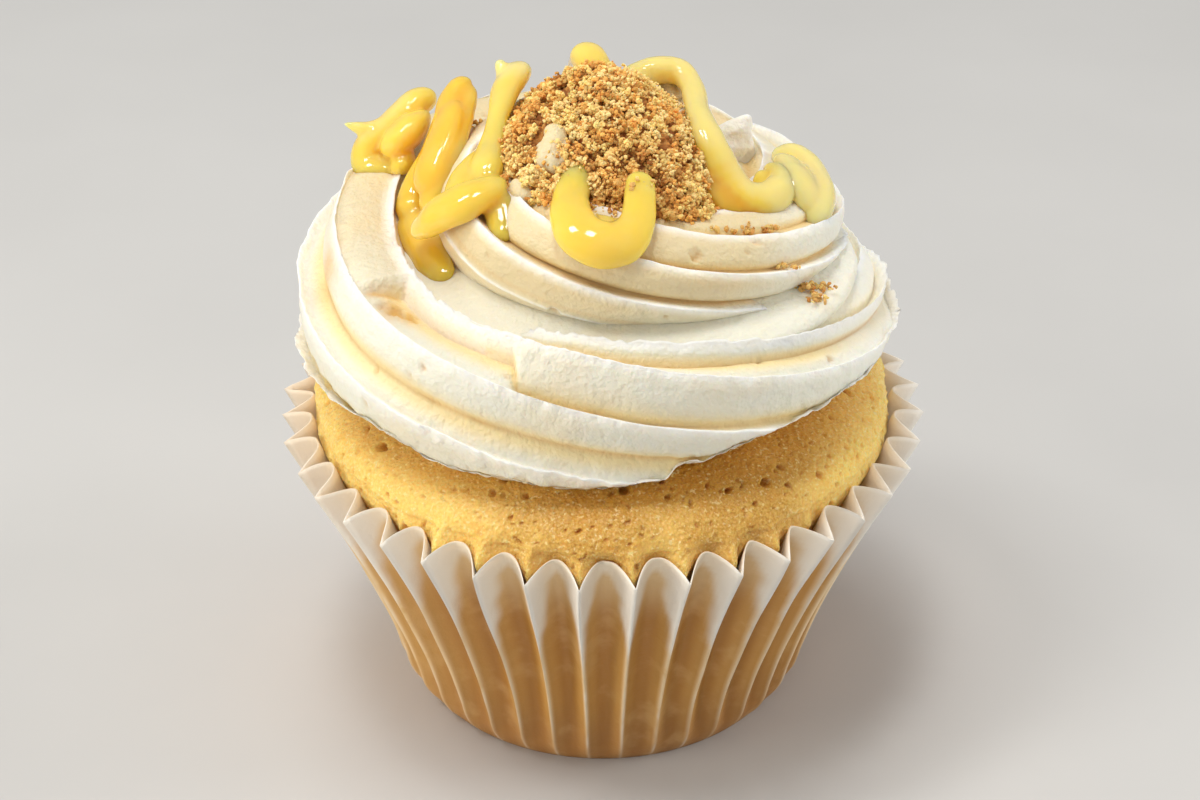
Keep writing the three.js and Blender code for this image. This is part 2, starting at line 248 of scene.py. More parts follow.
# %% A socket that can be calculated with
class Socket:
    """An output of a node. Arithmetic on it adds Math nodes and gives the new output."""

    def __init__(self, paint, socket):
        self.paint = paint
        self.socket = socket

    def _math(self, operation, first, second):
        """Adds a Math node on two sockets or numbers."""
        return self.paint.node("ShaderNodeMath", {"operation": operation}, {0: first, 1: second})

    def __add__(self, other):
        return self._math("ADD", self, other)

    def __sub__(self, other):
        return self._math("SUBTRACT", self, other)

    def __rsub__(self, other):
        return self._math("SUBTRACT", other, self)

    def __mul__(self, other):
        return self._math("MULTIPLY", self, other)

    def __pow__(self, other):
        return self._math("POWER", self, other)

    __radd__ = __add__
    __rmul__ = __mul__


# %% A material built from nodes
class Paint:
    """One material: a Principled shader and the nodes that feed it."""

    def __init__(self, name, **constants):
        self.material = bpy.data.materials.new(name)
        self.material.use_nodes = True
        self.tree = self.material.node_tree
        self.shader = self.tree.nodes["Principled BSDF"]
        for socket, value in constants.items():
            self.shader.inputs[socket.replace("_", " ")].default_value = value

    def node(self, kind, settings=None, inputs=None, output=0):
        """Adds a node of a kind: its settings, then the values or links of its sockets."""
        made = self.tree.nodes.new(kind)
        for key, value in (settings or {}).items():
            setattr(made, key, value)
        for key, value in (inputs or {}).items():
            if isinstance(value, Socket):
                self.tree.links.new(value.socket, made.inputs[key])
            else:
                made.inputs[key].default_value = value
        return Socket(self, made.outputs[output])

    def mark(self, name):
        """A number that the mesh carries at each point."""
        return self.node("ShaderNodeAttribute", {"attribute_name": name}, output="Fac")

    def place(self):
        """The point's own place on the object."""
        return self.node("ShaderNodeTexCoord", output="Object")

    def axis(self, letter):
        """How far the point lies along one axis, in metres."""
        return self.node("ShaderNodeSeparateXYZ", None, {0: self.place()}, output=letter)

    def grain(self, size, detail=3.0):
        """Cloudy pattern from 0 to 1 whose patches are about size mm across."""
        return self.node("ShaderNodeTexNoise", None,
                         {"Vector": self.place(), "Scale": 1 / (size * MM), "Detail": detail})

    def spots(self, size):
        """Distance to the nearest of spots strewn size mm apart, as a share of size."""
        return self.node("ShaderNodeTexVoronoi", None,
                         {"Vector": self.place(), "Scale": 1 / (size * MM)}, output="Distance")

    def between(self, value, low, high):
        """Share that goes smoothly from 0 where value is low to 1 where it is high."""
        return self.node("ShaderNodeMapRange", {"interpolation_type": "SMOOTHSTEP"},
                         {"Value": value, "From Min": low, "From Max": high})

    def mix(self, low, high, share):
        """Colour that goes from low to high as share goes from 0 to 1."""
        return self.node("ShaderNodeMix", {"data_type": "RGBA"}, {0: share, 6: low, 7: high},
                         output=2)

    def feed(self, socket, value):
        """Links a calculated value to a socket of the shader."""
        self.tree.links.new(value.socket, self.shader.inputs[socket])

    def relief(self, height, depth):
        """Bump whose height of 1 stands depth mm proud."""
        self.feed("Normal", self.node("ShaderNodeBump", None,
                                      {"Height": height, "Distance": depth * MM, "Strength": 1.0}))


def tint(red, green, blue):
    """A screen colour of 0 to 255 as the linear colour that a shader works with."""
    shares = np.array([red, green, blue]) / 255
    linear = np.where(shares > 0.04045, ((shares + 0.055) / 1.055) ** 2.4, shares / 12.92)
    return (*linear.tolist(), 1.0)


print("a middle grey as linear light:", round(tint(128, 128, 128)[0], 3))

# %% [markdown]
# ## The paper case
# A case starts as a flat disc of greaseproof paper, pressed into forty pleats. Nothing of the
# disc is lost, so what the circle of the wall can't take up goes into the pleats, and that
# gives their depth at every height. Seen from above a pleat is a sharp outer ridge and a
# rounded inner fold. The wall could be an extruded zigzag with a Solidify modifier, but a grid
# that runs up the outside, over the rim and down the inside gives the paper's edge its true
# thickness, and the folds can lean and crumple one by one.

# %% Sizes of the case
_, case_high = box_mm("paper_case")
FOLD_RISE = 1.3                      # how far an inner fold stands above the ridges at the rim
RIM_RADIUS = round(case_high[0] + 0.1, 1)
RIM_HEIGHT = round(case_high[2] - FOLD_RISE, 1)
BASE_RADIUS = 25.0
PAPER = 0.2
PLEATS = 40
PER_PLEAT = 18                       # columns of points in a pleat
CASE_RINGS = 66                      # rings of points up the outside
PLEAT_WAY = -0.6                     # direction of the inner fold next to the front
WALL_HEIGHT = [0, 1.2, 3, 7, 12, 18, 25, 32, RIM_HEIGHT]
WALL_RADIUS = [25.1, 26.1, 27.2, 28.4, 29.9, 32.1, 35.0, 38.3, RIM_RADIUS]


def pleat_depth(height):
    """Depth of a pleat: the paper's half facet is the hypotenuse of a triangle whose base is
    half a pleat's share of the circle, so the depth is the root of the difference of squares."""
    radius = through(WALL_HEIGHT, WALL_RADIUS, height)
    facet = np.pi * (BASE_RADIUS + 1.09 * height) / PLEATS
    reach = np.pi * (radius - 2) / PLEATS
    return np.sqrt(np.maximum(facet ** 2 - reach ** 2, 0)) * np.minimum(1, height / 4)


print("pleat depth at the rim:", round(float(pleat_depth(RIM_HEIGHT)), 2), "mm")

# %% The wall as a function of direction and height
LEAN = 0.9                           # degrees that a ridge leans aside at the rim
SWAY = 0.14                          # mm that the whole wall wanders in and out


def case_wall(step, height, inset):
    """Wall point: step counts points round the case, and within a pleat `opened` goes from 0
    at the inner fold to 1 at the ridge. The radius is the ridge line less the pleat's depth
    times 1 - opened^p, with p between sharp and round for each pleat."""
    pleat = np.floor(step / PER_PLEAT + 0.5)
    within = step / PER_PLEAT - pleat
    ridge = np.floor(step / PER_PLEAT)
    opened = np.abs(2 * within)
    own = lattice(sheet_of(np.mod(pleat, PLEATS), 3, 0), 5)
    ridge_own = lattice(sheet_of(np.mod(ridge, PLEATS), 9, 0), 7)
    share = height / RIM_HEIGHT
    left = smooth(1, 4, pleat % PLEATS) * smooth(16, 11, pleat % PLEATS)
    power = 1.6 + 0.9 * own - 0.35 * left
    bowl = 1 - opened ** power
    outer = through(WALL_HEIGHT, WALL_RADIUS, height)
    lean = LEAN * share ** 2 * noise(sheet_of(ridge % PLEATS, height / 14, 0), 1, 11) * opened
    sway = (SWAY * noise(sheet_of(np.mod(step, PLEATS * PER_PLEAT) / 25, height / 9, 4), 1, 12)
            * smooth(3, 12, height))
    stretch = 1 - 0.06 * own * share
    radius = (outer - pleat_depth(height) * stretch * bowl - inset
              - 0.6 * ridge_own * share ** 3 * opened + sway)
    way = PLEAT_WAY - 360 / PLEATS * (step / PER_PLEAT) + lean
    lift = FOLD_RISE * bowl + 0.5 * (own - 0.6) - 0.9 * opened ** 8 * (ridge_own - 0.3)
    return polar(radius, way, height + lift * share ** 3), opened


# %% Build the case
# Butter soaks the paper where the cake touches it: near the base right across a pleat, and
# higher up only the folds. How much of a pleat is soaked, at each height.
SOAKED_HEIGHT = [21, 25, 28.5, 32, 34, 36, 37.6]
SOAKED_SHARE = [1.1, 0.9, 0.74, 0.6, 0.5, 0.36, 0.1]


def build_case(material):
    """Rings up the outside of the wall, over the rim and down the inside."""
    steps = np.arange(PLEATS * PER_PLEAT)[None, :]
    outer_heights = RIM_HEIGHT * np.linspace(0, 1, CASE_RINGS)[:, None] ** 1.15
    inner_heights = outer_heights[::-2]
    outside, opened = case_wall(steps, outer_heights, 0)
    inside, opened_inside = case_wall(steps, inner_heights, PAPER * 1.3)
    inside[..., 2] = np.maximum(inside[..., 2], PAPER)
    grid = np.concatenate([outside, inside])
    opened = np.concatenate([np.broadcast_to(opened, outside.shape[:2]),
                             np.broadcast_to(opened_inside, inside.shape[:2])])
    height = grid[..., 2]
    soaked = np.interp(height, SOAKED_HEIGHT, SOAKED_SHARE)
    soaked = soaked + 0.14 * smooth(10, 26, np.abs(grid[..., 0])) * smooth(22, 26, height)
    edge = 0.1 * noise(grid, 2.4, 31)
    stain = smooth(0.18, -0.16, opened - soaked + edge) * smooth(38.6, 37, height)
    marks = {"stain": with_ends(stain), "opened": with_ends(opened)}
    return add_piece("pleated_case", [skin(grid)], material, ["paper_case"], marks)


# %% Paper material
def paper_paint():
    """Greaseproof paper: white, with light spreading in it, and tan where it is soaked. Towards the
    left it is painted peach, and lighter where soaked, as painted light from the left.
    """
    paint = Paint("greaseproof_paper", Roughness=0.5, Subsurface_Weight=0.25,
                  Subsurface_Scale=0.0012, Subsurface_Radius=(1.0, 0.9, 0.8))
    stain, opened = paint.mark("stain"), paint.mark("opened")
    cloud, height, across = paint.grain(5.0, 4.0), paint.axis("Z"), paint.axis("X")
    dry = paint.mix(tint(236, 218, 192), tint(250, 242, 228), paint.between(opened, 0.3, 1.0))
    soaked = paint.mix(tint(176, 122, 50), tint(200, 148, 76), paint.between(opened, 0.2, 0.7))
    ridge = paint.mix(soaked, tint(246, 216, 172), paint.between(opened, 0.78, 1.0) * 0.8)
    soaked = paint.mix(ridge, soaked, paint.between(cloud, 0.58, 0.72) * 0.6)
    soaked = paint.mix(soaked, tint(158, 108, 60), paint.between(height, 0.014, 0.001) * 0.6)
    soaked = paint.mix(soaked, tint(232, 190, 130), paint.between(cloud, 0.5, 0.72) * 0.3)
    soaked = paint.mix(soaked, tint(236, 206, 158), paint.between(height, 0.027, 0.037) * 0.6)
    # Painted light: towards the left the dry paper is tinted peach and the soaked paper lighter, for
    # light from the left shining through the paper.
    dry = paint.mix(dry, tint(230, 202, 166), paint.between(across, -0.028, -0.04) * 0.6)
    soaked = paint.mix(soaked, tint(236, 186, 112), paint.between(across, -0.012, -0.032) * 0.5)
    paint.feed("Base Color", paint.mix(dry, soaked, stain))
    paint.relief(paint.grain(0.5, 4.0) + paint.grain(2.5) * 2.0, 0.05)
    return paint.material


build_case(paper_paint())

# %% [markdown]
# ## The sponge
# Under the frosting the sponge domes a little and its side is golden and full of fine pores.
# Pores could be only a pattern in the material, but the larger ones catch shadow and show at
# the outline, so pores down to about half a millimetre are pressed into the mesh and only the
# finest are left to bump.

# %% Sponge shape
_, sponge_high = box_mm("sponge")
SPONGE_BASE = 0.75
SPONGE_RIM = 36.8
SPONGE_SHOULDER = 40.5
SPONGE_TOP = round(sponge_high[2], 1)
SPONGE_COLUMNS = 840
PORE_DEPTH = 0.9                     # mm deep for each mm of a pore's radius
PAPER_GAP = 0.6
# Pores: how far apart, their radius, what share of them is open, and a seed.
SPONGE_PORES = [(4.2, 1.2, 0.4, 51), (2.1, 0.78, 0.6, 61), (1.2, 0.44, 0.75, 71)]


def sponge_profile():
    """Radius and height from the base up the side, then over the shoulder as a flattened
    quarter circle: the height follows the sine to the power 1 / 1.2."""
    hidden = np.linspace(SPONGE_BASE, 33, 16)
    shown = np.linspace(33.3, SPONGE_SHOULDER, 26)
    side = np.concatenate([hidden, shown])
    fold = through(WALL_HEIGHT, WALL_RADIUS, side) - pleat_depth(side) - PAPER_GAP
    turn = np.concatenate([np.linspace(0.02, 0.95, 62), np.linspace(1.0, np.pi / 2, 8)[:-1]])
    radius = np.concatenate([np.minimum(fold, SPONGE_RIM), SPONGE_RIM * np.cos(turn)])
    rise = (SPONGE_TOP - SPONGE_SHOULDER) * np.sin(turn) ** (1 / 1.2)
    return radius, np.concatenate([side, SPONGE_SHOULDER + rise])


def pleat_fill(way, height):
    """How far the sponge reaches out into the pleats near the rim at the front: 0.7 of a pleat's
    depth times the square of how open the pleat is there, fading above the rim and far below it."""
    pleat = (PLEAT_WAY + way) * PLEATS / 360
    opened = np.abs(2 * (pleat - np.floor(pleat + 0.5)))
    share = 0.7 * smooth(0.66, 0.92, np.cos(np.radians(way)))
    shown = smooth(28, 33, height) * smooth(42.2, 38.2, height)
    return share * opened ** 2 * pleat_depth(np.minimum(height, RIM_HEIGHT)) * shown


print("sponge:", len(sponge_profile()[0]), "rings of", SPONGE_COLUMNS, "points")


# %% Build the sponge
def build_sponge(material):
    """The profile turned round the axis, swollen unevenly and pitted with pores."""
    radius, height = (part[:, None] for part in sponge_profile())
    way = np.arange(SPONGE_COLUMNS)[None, :] * 360 / SPONGE_COLUMNS
    turn = np.radians(way)
    swell = 0.35 * np.sin(3 * turn + 1) + 0.25 * np.sin(7 * turn + height / 3)
    plain = polar(radius + swell * smooth(38, 41, height) + pleat_fill(way, height), -way, height)
    soft = 0.22 * noise(plain, 6, 41) + 0.1 * noise(plain, 2.2, 42) + 0.07 * noise(plain, 0.9, 43)
    torn = plain + 0.5 * np.stack([noise(plain, 1.3, k) for k in (44, 45, 46)], -1)
    front = np.exp(-((np.mod(way + 174, 360) - 180) / 13) ** 2)
    depth = np.zeros(plain.shape[:2])
    for size, reach, keep, seed in SPONGE_PORES:
        gap, own = nearest_spot(torn * [1, 1, 0.8], size, seed)
        hole = reach * (0.5 + 0.5 * own) * (own < keep + 0.25 * front)
        depth = np.maximum(depth, PORE_DEPTH * reach * smooth(1, 0.45, gap / np.maximum(hole, 0.01)))
    grains, _ = nearest_spot(plain, 0.95, 47)
    soft = soft + 0.2 * smooth(0.55, 0.05, grains)
    depth = depth * smooth(35, 37, height)
    outward = plain * [1, 1, 0] / np.maximum(radius, 1)[..., None]
    up = smooth(SPONGE_SHOULDER, SPONGE_TOP, height)[..., None] * np.array([0, 0, 1.0])
    push = outward * (1 - 0.4 * up[..., 2:]) + up
    grid = plain + push * (soft * smooth(37, 40, height) - depth)[..., None]
    marks = {"pore": with_ends(np.clip(depth / PORE_DEPTH, 0, 1))}
    return add_piece("porous_sponge", [skin(grid)], material, ["sponge"], marks)


# %% Sponge material
def sponge_paint():
    """Golden crumb: pale grains over a deeper gold, with painted glints, painted light at both sides
    and by the paper, and painted shade under the frosting and in the pores."""
    paint = Paint("sponge_crumb", Roughness=0.36, Subsurface_Weight=0.5, Subsurface_Scale=0.0035,
                  Subsurface_Radius=(1.0, 0.6, 0.3))
    pore, fine, coarse = paint.mark("pore"), paint.grain(0.3, 2.0), paint.grain(2.0, 4.0)
    across, height = paint.axis("X"), paint.axis("Z")
    # Painted light: the crumb is painted paler and brighter towards both sides, where the side lamps
    # fall on it.
    side = paint.between(across, -0.006, -0.02) + paint.between(across, 0.02, 0.03)
    gold = paint.mix(tint(200, 146, 56), tint(224, 180, 94), paint.between(fine, 0.3, 0.7))
    bright = paint.mix(tint(255, 202, 98), tint(255, 222, 132), paint.between(fine, 0.3, 0.7))
    gold = paint.mix(gold, bright, side)
    gold = paint.mix(gold, tint(232, 170, 70), paint.between(coarse, 0.5, 0.66) * 0.3)
    gold = paint.mix(gold, tint(255, 214, 118), paint.between(paint.grain(9.0), 0.45, 0.75) * 0.5)
    # Painted shade: darker and browner near the top, under the overhang of the frosting.
    gold = paint.mix(gold, tint(190, 122, 16), paint.between(height, 0.0425, 0.0462) * 0.7)
    # Painted light: paler low down by the paper, for light that the translucent paper passes on.
    gold = paint.mix(gold, tint(255, 214, 130), paint.between(height, 0.042, 0.037) * 0.5)
    # Painted glints: small pale spots that stand for the glisten of moist crumb.
    painted_glints = paint.between(paint.grain(0.45, 1.0), 0.6, 0.7)
    gold = paint.mix(gold, tint(255, 238, 178), painted_glints * 0.45)
    # Painted shade: darker in the pores, where shade falls.
    gold = paint.mix(gold, tint(190, 124, 34), pore * 0.8)
    paint.feed("Base Color", gold)
    paint.relief(fine * 0.6 + paint.spots(0.5) + coarse, 0.17)
    return paint.material


build_sponge(sponge_paint())

# %% [markdown]
# ## The frosting
# A star nozzle with nine teeth gives a rope with nine lips, and the piping hand winds that rope
# round and up while it rolls slowly about its own line. A curve object with a star profile
# would come close, but its section can't change on the way. Here each point of the rope's skin
# has two numbers: the turn round the cake, and the place round the section counted in teeth.
# Between two lips the cream is scooped out, mostly deepest just above the lower lip. The lips
# tear as the stiff cream leaves the nozzle, so they are ragged at three scales.

# %% The rope's sizes
TEETH = 9
TOOTH_DEPTH = 0.24
LIP_CURL = 5.0                       # degrees that a lip curls up past its own direction
CREASE_AT = np.array([0.2, 0.82, 0.3, 0.3, 0.14, 0.14, 0.3, 0.4, 0.5])
UNDERSIDE = 3                        # lip that vanishes on the second turn's underside
OVERLAP = 420.2                      # turn where the broad face starts to overlie a scoop
ROPE_START = 192
ROPE_END = 1056
KNOT_START = 180                     # turn of the first value in each list below
KNOT_STEP = 60                       # degrees from one value to the next
ROPE_RADIUS = [31.5, 31.6, 30.1, 28, 28.8, 27.4, 25.4, 22.6, 18.3, 15.3, 12.9, 10.5, 8.5, 7, 5.5, 4]
ROPE_HEIGHT = [49.5, 50.5, 52.1, 51.5, 52, 56.6, 60.2, 62, 64.5, 66.8, 68, 70, 72, 73, 73.5, 74]
ROPE_ROLL = [-112, -66, -19, 23, 61, 62, 91, 124, 167, 208, 248, 287, 325, 363, 401, 440]
ROPE_HALF_WIDTH = [6, 6.2, 5.4, 5.6, 9.8, 9.8, 9.8, 10.1, 9.6, 9.5, 9.6, 9.2, 8.6, 7, 5.6, 4.5]
ROPE_HALF_HEIGHT = [6.5, 6.9, 8.3, 12.4, 13.6, 13.4, 10.2, 6.8, 6.6, 7.4, 7.3, 7.6, 7.8, 7, 6, 5]
UNDER_RADIUS = [29.5, 30.5, 31.5, 30, 29, 29, 29, 26.5]
cream_low, _ = box_mm("cream_swirl")
UNDER_HEIGHT = round(cream_low[2], 1)
UNDER_SLOPE = 0.75
SKIRT_SAG = 1.4                      # how far the cream hangs lower at the front
print("turns of the rope:", (ROPE_END - ROPE_START) / 360)


# %% The section between two lips
def scoop(phase, crease):
    """Depth between two lips, 0 at both and 1 at the crease. Below the upper lip the cream
    bulges: the depth is 0.4 (1 - (1 - f)^2.2) + 0.6 f^6 at a share f of the way to the crease.
    Between the crease and the lower lip it rises evenly."""
    face = np.clip((1 - phase) / (1 - crease), 0, 1)
    shelf = np.clip(phase / crease, 0, 1)
    bulge = 0.4 * (1 - (1 - face) ** 2.2) + 0.6 * face ** 6
    return np.where(phase < crease, shelf ** 0.9, bulge)


def crease_place(turn, which):
    """Where the crease lies in each scoop, from 0 at its lower lip to 1 at its upper one. On
    the left of the cake the scoop above the lowest lip opens into a wide shelf."""
    wide = (which == 0) * smooth(377, 380, turn) * smooth(545, 520, turn)
    return CREASE_AT[which] + (0.93 - CREASE_AT[which]) * wide


def scoop_share(turn, which, phase):
    """How deep each scoop is against the others: the one above the lowest lip runs out where a
    broad face of cream overlies it."""
    overlaid = smooth(OVERLAP, OVERLAP + 1.5, turn + 3 * phase) * smooth(545, 520, turn)
    return 1 - 0.85 * overlaid * (which == 0)


def underside(turn, which, phase):
    """Depth of the smooth underside of the second turn: it falls away below the lip above it
    as 1 - phase^2.2 does and stays level across the lip that vanishes."""
    above = 0.4 * (1 - phase ** 2.2)
    below = 0.4 * np.minimum(1, phase / 0.5)
    flat = (which == UNDERSIDE) | (which == UNDERSIDE - 1)
    return np.where(which == UNDERSIDE, above, below), flat * smooth(545, 585, turn)


print("depth half way between two lips:", round(float(scoop(0.5, 0.3)), 2))


# %% The rope's skin
def rope(turn, tooth):
    """Skin of the rope at a turn (degrees) and a place round the section (in teeth): an upright
    ellipse round the rope's middle, times 1 less the tooth's depth times the scoop, with the
    teeth turned round it by the roll, and pushed out a little at the torn lips. Also gives the
    way that the skin faces, how far the point is from a lip as a share of a tooth, how far it
    is scooped out, and how near it is to a crease."""
    def at(values):
        return along(values, KNOT_START, KNOT_STEP, turn)

    ease = np.minimum(1, (turn - ROPE_START) / 40)
    taper = np.sqrt(np.maximum(0.02, ease * (2 - ease)))
    phase = np.mod(tooth, 1)
    lip = np.round(tooth)
    arc = np.radians(turn) * np.maximum(at(ROPE_RADIUS) + 6, 5)
    which = (np.floor(tooth) % TEETH).astype(int) + 0 * turn.astype(int)
    crease = crease_place(turn, which) + 0.03 * noise(sheet_of(arc / 9, which, 0), 1, 81)
    depth = TOOTH_DEPTH * (1.05 + 0.2 * noise(sheet_of(arc / 11, which, 5), 1, 82))
    near = np.minimum(phase, 1 - phase)
    scooped = scoop(phase, crease) * scoop_share(turn, which, phase)
    even, share = underside(turn, which, phase)
    scooped = scooped + (even - scooped) * share
    star = 1 - depth * scooped
    shown = 1 - (lip % TEETH == UNDERSIDE) * smooth(545, 585, turn)
    curl = LIP_CURL * (np.exp(-(near / 0.07) ** 2) * shown - 0.4)
    angle = np.radians(at(ROPE_ROLL) + 360 / TEETH * tooth + curl)
    along_lip = sheet_of(arc, lip % TEETH * 7.3, 0)
    torn = (0.28 * noise(along_lip, 1.7, 83) + 0.2 * noise(along_lip, 0.7, 84) + 0.25
            + 0.35 * noise(along_lip, 9, 85))
    outward = np.exp(-(near / 0.05) ** 2) * torn * shown
    across = at(ROPE_HALF_WIDTH) * star * taper + outward
    upright = at(ROPE_HALF_HEIGHT) * star * taper + outward
    radius = np.maximum(0.4, at(ROPE_RADIUS) + across * np.cos(angle))
    height = at(ROPE_HEIGHT) + upright * np.sin(angle)
    points = polar(radius, turn, height)
    facing = polar(np.cos(angle), turn, np.sin(angle) + 0 * radius)
    shade = np.exp(-((phase - crease) / (0.03 + 0.05 * smooth(560, 620, turn))) ** 2)
    return points, facing, near + 0 * radius, scooped, shade


def under(points):
    """Height of the frosting's underside: level inside its foot, and rising outwards."""
    radius = np.hypot(points[..., 0], points[..., 1])
    way = np.degrees(np.arctan2(-points[..., 0], -points[..., 1]))
    foot = around(UNDER_RADIUS, way)
    ragged = 0.45 * noise(points, 2.3, 91) + 0.3 * noise(points, 0.9, 92)
    sag = SKIRT_SAG * smooth(-15.5, -12.5, way) * smooth(48, 30, way)
    return UNDER_HEIGHT - sag + UNDER_SLOPE * np.maximum(0, radius - foot) + ragged


print("underside of the frosting at its middle:", round(float(under(np.zeros(3))), 1), "mm up")

# %% Hollows in the cream
# Air holes: a middle and a reach. Shaded hollows, which are only painted shade in the colour:
# a middle, a reach and a strength.
AIR_HOLES = [([10.8, -19.8, 70.4], 0.8), ([18.0, -15.5, 70.0], 0.6), ([-25.4, -18.7, 63.5], 1.0),
             ([-24.2, -19.2, 63.0], 1.2), ([-22.9, -19.8, 62.5], 0.9), ([-21.8, -20.4, 62.2], 0.6),
             ([-25.1, -24.1, 59.9], 0.3), ([-22.2, -26.8, 58.7], 0.4), ([-13.4, -18.1, 69.5], 0.3)]
SHADED_HOLLOWS = [([-33.5, -8.6, 62.6], 3.0, 0.8), ([-24.4, -19.0, 63.1], 1.9, 1.25),
                ([-22.6, -19.8, 62.4], 1.6, 1.25)]


def pits(points):
    """Depth of the small pits strewn all over and of the air holes, each a rounded dip."""
    depth = 0
    for size, seed in ((5.2, 98), (3.1, 99)):
        gap, own = nearest_spot(points, size, seed)
        hole = size * (0.16 * own ** 3 + 0.02)
        depth = np.maximum(depth, 0.55 * smooth(1, 0.4, gap / hole) * (own > 0.5))
    ragged = 0.15 * noise(points, 0.6, 100)
    for middle, reach in AIR_HOLES:
        gap = np.linalg.norm((points - middle) * [0.7, 1, 1.2], axis=-1) + ragged
        depth = np.maximum(depth, 0.75 * reach * smooth(1, 0.55, gap / reach))
    return depth


def nook_shade(points):
    """Strength of the painted shade of the nearest of the shaded hollows, falling off
    as e^(-gap²/reach²).
    """
    tan_shade = 0
    for middle, reach, strength in SHADED_HOLLOWS:
        gap = np.linalg.norm((points - middle) * [1.3, 1, 0.8], axis=-1)
        tan_shade = np.maximum(tan_shade, strength * np.exp(-(gap / reach) ** 2))
    return tan_shade


def behind_step(turn, tooth):
    """Share of 1 along the foot of the step where the broad face of cream starts, for the painted shade
    there.
    """
    phase = np.mod(tooth, 1)
    foot = np.exp(-((turn + 3 * phase - OVERLAP + 0.8) / 1.2) ** 2) * (np.floor(tooth) % TEETH == 0)
    return foot * smooth(0.1, 0.3, phase) * smooth(0.95, 0.7, phase)


print("air holes:", len(AIR_HOLES), "and warm hollows:", len(SHADED_HOLLOWS))

# %% Build the rope
PER_TOOTH = 18
ROPE_STEP = 0.6                      # degrees from one ring of points to the next
PIECES = {"rope_first_turn": (ROPE_START, 540), "rope_second_turn": (540, 900),
          "rope_top_turn": (900, ROPE_END)}


def build_rope(name, start, end, material, nodes):
    """One length of the rope, its columns drawn together towards the lips."""
    turn = np.arange(start, end + ROPE_STEP / 2, ROPE_STEP)[:, None]
    share = np.arange(TEETH * PER_TOOTH) / PER_TOOTH
    tooth = (share - 0.11 * np.sin(2 * np.pi * share))[None, :]
    points, facing, near, scooped, crease = rope(turn, tooth)
    waves = 0.12 * noise(points, 4.5, 95) + 0.05 * noise(points, 1.3, 96)
    streak = 0.06 * noise(sheet_of(tooth * 9, turn / 22, 3), 1, 97)
    curdled = smooth(5, 1, points[..., 2] - under(points))
    rough = curdled * (0.2 * noise(points, 2.4, 93) + 0.16 * noise(points, 1.1, 94))
    pit = pits(points)
    # Painted shade for the colour: in the pits and air holes, along the creases of the scoops, at the
    # foot of the step and in the shaded hollows.
    painted_shade = np.max([pit, 0.7 * crease * scooped, behind_step(turn, tooth), nook_shade(points)], axis=0)
    grid = points + facing * (waves + streak + rough - pit)[..., None]
    grid[..., 2] = np.maximum(grid[..., 2], under(grid))
    marks = {"lip": with_ends(np.exp(-(near / 0.07) ** 2)), "scooped": with_ends(scooped),
             "pit": with_ends(painted_shade)}
    return add_piece(name, [skin(grid)], material, nodes, marks)


# %% Frosting material
def frosting_paint():
    """Whipped cream cheese: nearly white; yellower where it is scooped out, partly its own colour and
    partly painted shade; painted shade on the upper turns, in the creases and in the hollows;
    whiter on the right; whiter lips, partly a painted highlight."""
    paint = Paint("cream_cheese_frosting", Roughness=0.42, Subsurface_Weight=0.35,
                  Subsurface_Scale=0.0022, Subsurface_Radius=(1.0, 0.75, 0.45))
    scooped, lip, pit = paint.mark("scooped"), paint.mark("lip"), paint.mark("pit")
    height, across = paint.axis("Z"), paint.axis("X")
    # Partly the cream's own colour and partly painted shade: yellower where scooped out, for the yellow
    # shade of light bouncing in the scoops.
    cream = paint.mix(tint(234, 231, 214), tint(240, 219, 166), paint.between(scooped, 0.25, 0.8))
    # Painted shade: darker tan on the upper turns of the rope, apart from the far right.
    tan_shade = paint.between(height, 0.061, 0.069) * paint.between(across, 0.026, 0.016)
    cream = paint.mix(cream, tint(222, 198, 142), tan_shade * 0.72)
    cream = paint.mix(cream, tint(250, 248, 236), paint.between(across, 0.024, 0.032) * 0.6)
    cream = paint.mix(cream, tint(242, 214, 158), paint.between(paint.grain(14.0), 0.48, 0.8) * 0.35)
    # Painted shade: dark yellow in the pits, air holes, creases, at the step's foot and in the shaded
    # hollows.
    cream = paint.mix(cream, tint(222, 172, 88), pit * 0.8)
    # Partly the cream's own white and partly a painted highlight: whiter along the torn lips, which
    # catch the light.
    cream = paint.mix(cream, tint(252, 250, 243), lip * 0.85)
    paint.feed("Base Color", cream)
    paint.relief(paint.grain(0.6, 3.0) + paint.grain(1.6, 2.0) * 1.6, 0.22)
    return paint.material


frosting = frosting_paint()
for name, (start, end) in PIECES.items():
    build_rope(name, start, end, frosting, ["cream_swirl"] if start == ROPE_START else [])

# %% [markdown]
# ## Inside the coil
# The rope closes round a core of the same frosting. Nearly all of it is hidden, so a plain
# turned shape with soft unevenness is enough. The torn tip where the nozzle was pulled away is
# a bent cone.

# %% Core and torn tip
CORE_RADIUS = [26, 27, 27, 26.2, 22.5, 14, 8, 3]
CORE_HEIGHT = [44, 50, 58, 61.6, 63, 69, 77, 79.2]
CORE_SWELL = [0, 0.3, 0.6, 0, 0, 0, 4, 3.5]
CORE_LIFT = [0, 1.4, 1.6, 0, 0, 0, 0, 0]
PEAK_FOOT = np.array([14.2, 12, 67])
PEAK_TIP = np.array([17.4, 12, 73.5])
PEAK_RADIUS = 4.6
PEAK_BEND = np.array([0.8, 0, 0])
PEAK_SIDES = 48
CORE_COLUMNS = 240


